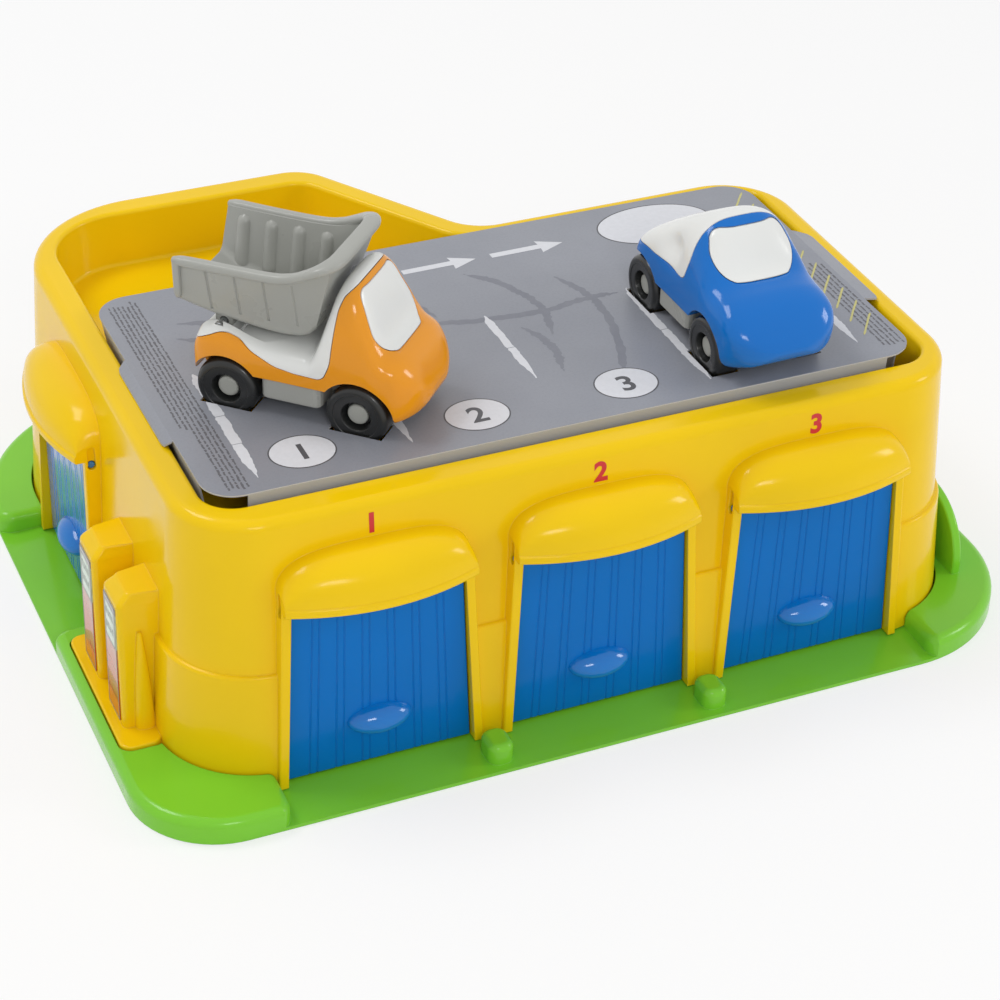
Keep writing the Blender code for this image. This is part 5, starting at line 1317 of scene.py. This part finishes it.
def tipperChannel():
    x, deck = truckLook["pivot"][0], truckLook["deck"]
    line = [(-60, 90, 1, 1), (-60, deck - 3, 1, 1), (x - 7.2, deck - 3, 1, 4), (x - 4.5, deck - 2, 1, 4),
            (x + 4.5, deck - 2, 1, 4), (x + 7.2, deck, 1, 4), (8.0, deck, 3, 8), (10.5, 30, 12, 6),
            (16, 48, 8, 6), (16, 90, 1, 1)]
    return acrossBody(line, half=truckLook["channel"])


# the coloured shell, with room for the chassis and for the white part
def vehicleShell(look, pinch=None):
    return carved(bodyForm(look, pinch=pinch), [*chassisRoom(look), ("cut", whitePart(look, running))])


def truckBody():
    x, z = truckLook["pivot"]
    pinHole = moved(rod(*truckLook["pinHole"], 32, "Y"), x, 0, z)
    return carved(bodyForm(truckLook), [
        ("keep", whitePart(truckLook, 0.0)),
        *chassisRoom(truckLook),
        ("cut", tipperChannel()),
        ("cut", pinHole)])


addPiece("truck_shell_fine", vehicleShell(truckLook), orangePlastic, "truck", ("truck_shell",),
         vehicleFrame("truck"), 32)
addPiece("truck_body_fine", truckBody(), whitePlastic, "truck", ("truck_body",),
         vehicleFrame("truck"), 32)

carLook = dict(
    top=[(-41, 9), (-40, 13), (-37.5, 18.5), (-33.5, 23.5), (-28, 28), (-21, 32.8), (-12, 38.4), (-3, 43.4),
         (3, 45.8), (7, 46.6), (10, 46.1), (13, 44.5), (16.5, 41), (20, 36.8), (24, 32), (28, 28.8),
         (33, 27.3), (39, 26.2), (45, 23.4), (50, 18.8), (53.5, 14.2), (55.5, 10.6), (56, 9)],
    low=[(-41, 4), (-39, 0), (-35, -1.5), (40, -1.8), (46, -0.8), (50, 0.8), (53.5, 3.4), (55.5, 6),
         (56, 7.5)],
    width=[(-41, 15), (-40, 18.5), (-37, 22), (-31, 24.8), (-20, 25.0), (0, 24.8), (20, 25.0), (30, 25.6),
           (40, 25.4), (45, 24.8), (49, 22.8), (52, 19.6), (54.3, 15), (55.5, 10.5), (56, 7.5)],
    tuck=[(-41, 4), (-30, 1.2), (28, 1.2), (40, 4.5), (49, 9), (53, 7), (56, 3)],
    roof=0.80, belt=17.0, power=3.4, tray=(-36.0, 42.0, 8.0),
    whiteLow=[(-41, 17.0, 8, 4), (-36, 18.6, 20, 4), (-24, 20.6, 30, 4), (-14, 21.0, 30, 4),
              (4, 21.0, 16, 4)],
    whiteFront=[(8.0, 21.4, 3.0, 12), (9.6, 30, 16, 8), (8.8, 40, 16, 6), (8.6, 90, 1, 1)],
    screen=(27.9, 43.9, 20.9, 14.8, 6.0, 7.0, 6.5), scoop=(-6.0, 7.5, 28.5, 6.0, 0.15))


# the shallow hollow in each flank behind the windscreen
def carScoop(x, z):
    middle, along, height, up, share = carLook["scoop"]
    return 1 - share * math.exp(-((x - middle) / along) ** 2 - ((z - height) / up) ** 2)


def carTop():
    return carved(bodyForm(carLook, pinch=carScoop), [
        ("keep", whitePart(carLook, 0.0)), ("cut", wheelRooms())])


addPiece("car_shell_fine", vehicleShell(carLook, carScoop), carBlue, "car", ("car_shell",),
         vehicleFrame("car"), 32)
addPiece("car_top_fine", carTop(), whitePlastic, "car", ("car_top",), vehicleFrame("car"), 32)
print("vehicle bodies done")

# Tipper bed

bed = dict(
    wall=2.0, bend=(1.4, 4.0), side=((18.6, 29.8), (24.2, 54.0)), ribs=4, ribFirst=-39.0, ribPitch=12.0,
    ribHalf=3.3, ribProud=2.0, ribStart=0.06, ribLength=0.86, ribTaper=0.12,
    creaseShift=4.5, creaseDepth=0.55, creaseHalf=(1.6, 0.25), creaseSpan=(0.08, 0.9),
    # x at the floor and at the rim, floor, rim, half width at each
    sections=[(-48.5, -46.5, 33.6, 54.0, 20.2, 25.0), (-41, -41, 30.6, 54.0, 18.6, 24.6),
              (-31, -31, 28.0, 54.0, 17.6, 24.3), (-12, -12, 25.6, 54.0, 17.2, 24.2),
              (-1.0, 1.5, 25.6, 55.0, 17.0, 24.2), (4.5, 8.0, 27.2, 58.0, 17.0, 23.9)],
    front=(8.2, 17.6, 30.5, 60.6, 16.6, 23.2), frontInside=(6.0, 15.3, 30.5, 60.6, 16.6, 23.2),
    tailInside=(-56.0, -54.0, 36.6, 54.0, 21.8, 25.4),
    rail=[(-47.3, 25.0, 53.9), (-30, 24.4, 53.8), (-8, 24.2, 54.0), (1, 24.2, 55.4), (7, 24.0, 57.9),
          (12, 23.3, 60.4), (15.5, 21.0, 61.8), (17.3, 16.5, 62.2), (17.6, 6.0, 62.3)],
    railHalf=1.9, railWidth=[(-47, 2.2), (2, 2.2), (10, 3.0), (18, 3.5)], railDrop=0.25,
    flange=[(-49.0, 20.0, 35.2), (-47.2, 24.2, 54.0)], flangeSize=(3.0, 2.6), lug=(3.6, 4.1, 16.0), bore=1.9)


# open-topped sections; with a wall they are the hollow, which also rises past the rim
def trough(keys, wall, rise, steps=8):
    columns = [[(k, key[i]) for k, key in enumerate(keys)] for i in range(6)]
    over, up = bed["bend"]
    rings = []
    for k in range(steps * (len(keys) - 1) + 1):
        xf, xr, floor, rim, half, halfRim = (smoothCurve(column, k / steps) for column in columns)
        slope, lean = (halfRim - half - over) / (rim - floor - up), (xr - xf) / (rim - floor)
        floor, rim = floor + wall, rim + rise
        half, halfRim = half - wall, halfRim - wall + slope * (rise - wall)
        bend = [(half - 2.0 + (over + 2.0) * math.sin(a), floor + up * (1 - math.cos(a)))
                for a in [math.pi / 2 * i / 6 for i in range(7)]]
        y0, z0 = bend[-1]
        wallLine = [(y0 + (halfRim - y0) * i / 6, z0 + (rim - z0) * i / 6) for i in range(1, 7)]
        right = [(0.0, floor)] + bend + wallLine
        ring = [(-y, z) for y, z in reversed(right[1:])] + right
        rings.append([(xf + lean * (z - floor), y, z) for y, z in ring])
    return skin(rings)


def wallAt(share, side, proud):
    (y0, z0), (y1, z1) = bed["side"]
    return side * (y0 + proud + (y1 - y0) * share), z0 + (z1 - z0) * share


# a finger shaped rib up the inside of the wall, rounded off at both ends
def bedRib(x, side):
    rings = []
    for k in range(21):
        t = k / 20
        end = math.sqrt(max(0.0, 1 - (max(0.0, t - 0.84, 0.1 - t) / 0.16) ** 2)) + 0.02
        half = bed["ribHalf"] * (1.0 - bed["ribTaper"] * t) * min(1.0, end)
        proud = bed["ribProud"] * min(1.0, end)
        y, z = wallAt(bed["ribStart"] + bed["ribLength"] * t, side, -bed["wall"] + 0.5)
        rings.append([(x + half * math.cos(a), y - side * (proud + 0.5) * max(-0.2, math.sin(a)), z)
                      for a in [math.pi * (1.1 - 1.2 * j / 12) for j in range(13)]])
    return skin(rings)


# a shallow upright groove outside, ahead of each rib
def bedCrease(x, side):
    wide, narrow = bed["creaseHalf"]
    rings = []
    for share in bed["creaseSpan"]:
        y0, z = wallAt(share, side, 1.5)
        y1, _ = wallAt(share, side, -bed["creaseDepth"])
        rings.append([(x - wide, y0, z), (x + wide, y0, z), (x + narrow, y1, z), (x - narrow, y1, z)])
    return skin(rings)


def roundProfile(a, b, power=2.8, count=20):
    points = []
    for k in range(count):
        t = 2 * math.pi * k / count
        c, s = (math.copysign(abs(wave) ** (2 / power), wave) for wave in (math.cos(t), math.sin(t)))
        points.append((a * c, b * s))
    return points


# the thick rolled rim: up one side, across the raised front and back along the other side
def bedRail():
    keys = bed["rail"] + [(x, -y, z) for x, y, z in reversed(bed["rail"])]
    columns = [[(k, key[i]) for k, key in enumerate(keys)] for i in range(3)]
    count = 8 * (len(keys) - 1)
    path = [Vector([smoothCurve(column, k / 8) for column in columns]) for k in range(count + 1)]
    rings = []
    for k, p in enumerate(path):
        along = (path[min(count, k + 1)] - path[max(0, k - 1)]).normalized()
        across = Vector((-along.y, along.x, 0)).normalized()
        end = min(k, count - k)
        size = (0.55, 0.85, 0.97)[end] if end < 3 else 1.0
        wide = size * smoothCurve(bed["railWidth"], p.x)
        rings.append([p + across * u * wide + Vector((0, 0, v * size - bed["railDrop"]))
                      for u, v in roundProfile(1.0, bed["railHalf"])])
    return skin(rings)


# the thick edge of a side wall at the open tail
def bedFlange(side):
    long, deep = bed["flangeSize"]
    (x0, y0, z0), (x1, y1, z1) = bed["flange"]
    rings = []
    for k in range(13):
        t = k / 12
        size = min(1.0, 0.55 + 4.0 * t)
        x, y, z = x0 + (x1 - x0) * t + long / 2, y0 + (y1 - y0) * t + deep / 2, z0 + (z1 - z0) * t
        profile = roundProfile(long / 2, deep / 2, 3.4)
        rings.append([(x + u * size, side * (y + v * size), z) for u, v in profile])
    return skin(rings)


def tipperBed():
    x, z = truckLook["pivot"]
    r, top, half = bed["lug"]
    foot = [(x + r * math.cos(a), z + r * math.sin(a)) for a in [math.pi * (1 + k / 24) for k in range(25)]]
    edge = [(x - r, z + top)] + foot + [(x + r, z + top)]
    lug = skin([[(a, -half, b) for a, b in edge], [(a, half, b) for a, b in edge]])
    ribs = [(bed["ribFirst"] + k * bed["ribPitch"], side) for k in range(bed["ribs"]) for side in (-1, 1)]
    body = carved(trough(bed["sections"] + [bed["front"]], 0.0, 0.0), [
        ("cut", trough([bed["tailInside"]] + bed["sections"] + [bed["frontInside"]], bed["wall"], 12.0)),
        ("cut", gathered(*[bedCrease(at + bed["creaseShift"], side) for at, side in ribs])),
        ("join", lug),
        ("cut", moved(rod(bed["bore"], 40, 32, "Y"), x, 0, z))])
    return gathered(body, bedRail(), bedFlange(-1), bedFlange(1), *[bedRib(at, side) for at, side in ribs])


addPiece("tipper_bed_fine", tipperBed(), greyPlastic, "tipper_bed", ("tipper_bed",),
         vehicleFrame("truck"), 40)
print("tipper done")

# Floor, light and world

studioLook = dict(
    floor=((0.9, 0.9, 0.905), (0.93, 0.93, 0.93)), floorHalf=9.0, floorDrop=0.0002, glow=0.66, fill=0.62,
    lamps=dict(
        over=dict(place=(-0.7, 0.5, 1.5), aim=(0, 0, 0.05), size=(0.7, 0.5), power=8.2),
        right=dict(place=(1.5, -0.7, 0.75), aim=(0, 0, 0.08), size=(0.35, 0.5), power=5.0),
        front=dict(place=(-0.3, -1.6, 1.1), aim=(0, 0, 0.05), size=(0.5, 0.3), power=5.5)))


# a pale floor that the camera sees partly glowing, so that it stays even
def addFloor():
    n = Nodes("studioFloor")
    colour = n.blend(n.span(n.noise(1.2, 2.0), 0.0, 1.0), *studioLook["floor"])
    n.finish(colour, n.span(n.noise(3.0), 0.7, 0.8))
    glow = n.add("ShaderNodeEmission")
    glow.inputs["Strength"].default_value = 1.0
    path = n.add("ShaderNodeLightPath")
    seen = n.maths("MAXIMUM", path.outputs["Is Camera Ray"], path.outputs["Is Glossy Ray"])
    share = n.maths("MULTIPLY", seen, studioLook["glow"])
    mix = n.add("ShaderNodeMixShader")
    n.link(share, mix.inputs[0])
    n.link(n.shader.outputs[0], mix.inputs[1])
    n.link(glow.outputs[0], mix.inputs[2])
    n.link(mix.outputs[0], n.tree.nodes["Material Output"].inputs["Surface"])
    bm = bmesh.new()
    bmesh.ops.create_grid(bm, x_segments=8, y_segments=8, size=studioLook["floorHalf"])
    mesh = bpy.data.meshes.new("studioFloor")
    bm.to_mesh(mesh)
    bm.free()
    mesh.materials.append(n.material)
    floor = bpy.data.objects.new("studioFloor", mesh)
    floor.location = (0, 0, -studioLook["floorDrop"])
    bpy.context.scene.collection.objects.link(floor)


# white all round, dimmer as a light than as a backdrop
def addWorld():
    world = bpy.data.worlds.new("studio")
    bpy.context.scene.world = world
    world.use_nodes = True
    tree = world.node_tree
    back = tree.nodes["Background"]
    path = tree.nodes.new("ShaderNodeLightPath")
    seen = tree.nodes.new("ShaderNodeMath")
    seen.operation = "MAXIMUM"
    tree.links.new(path.outputs["Is Camera Ray"], seen.inputs[0])
    tree.links.new(path.outputs["Is Glossy Ray"], seen.inputs[1])
    strength = tree.nodes.new("ShaderNodeMapRange")
    strength.inputs["To Min"].default_value = studioLook["fill"]
    strength.inputs["To Max"].default_value = 1.0
    tree.links.new(seen.outputs[0], strength.inputs["Value"])
    tree.links.new(strength.outputs[0], back.inputs["Strength"])
    back.inputs["Color"].default_value = (1.0, 1.0, 1.0, 1.0)


def addLamps():
    for name, lamp in studioLook["lamps"].items():
        data = bpy.data.lights.new(name, "AREA")
        data.shape = "RECTANGLE"
        data.size, data.size_y = lamp["size"]
        data.energy = lamp["power"]
        thing = bpy.data.objects.new(name, data)
        place = Vector(lamp["place"])
        thing.location = place
        thing.rotation_euler = (Vector(lamp["aim"]) - place).to_track_quat("-Z", "Y").to_euler()
        bpy.context.scene.collection.objects.link(thing)


addFloor()
addWorld()
addLamps()
bpy.context.scene.view_settings.view_transform = "Standard"
print("studio done")
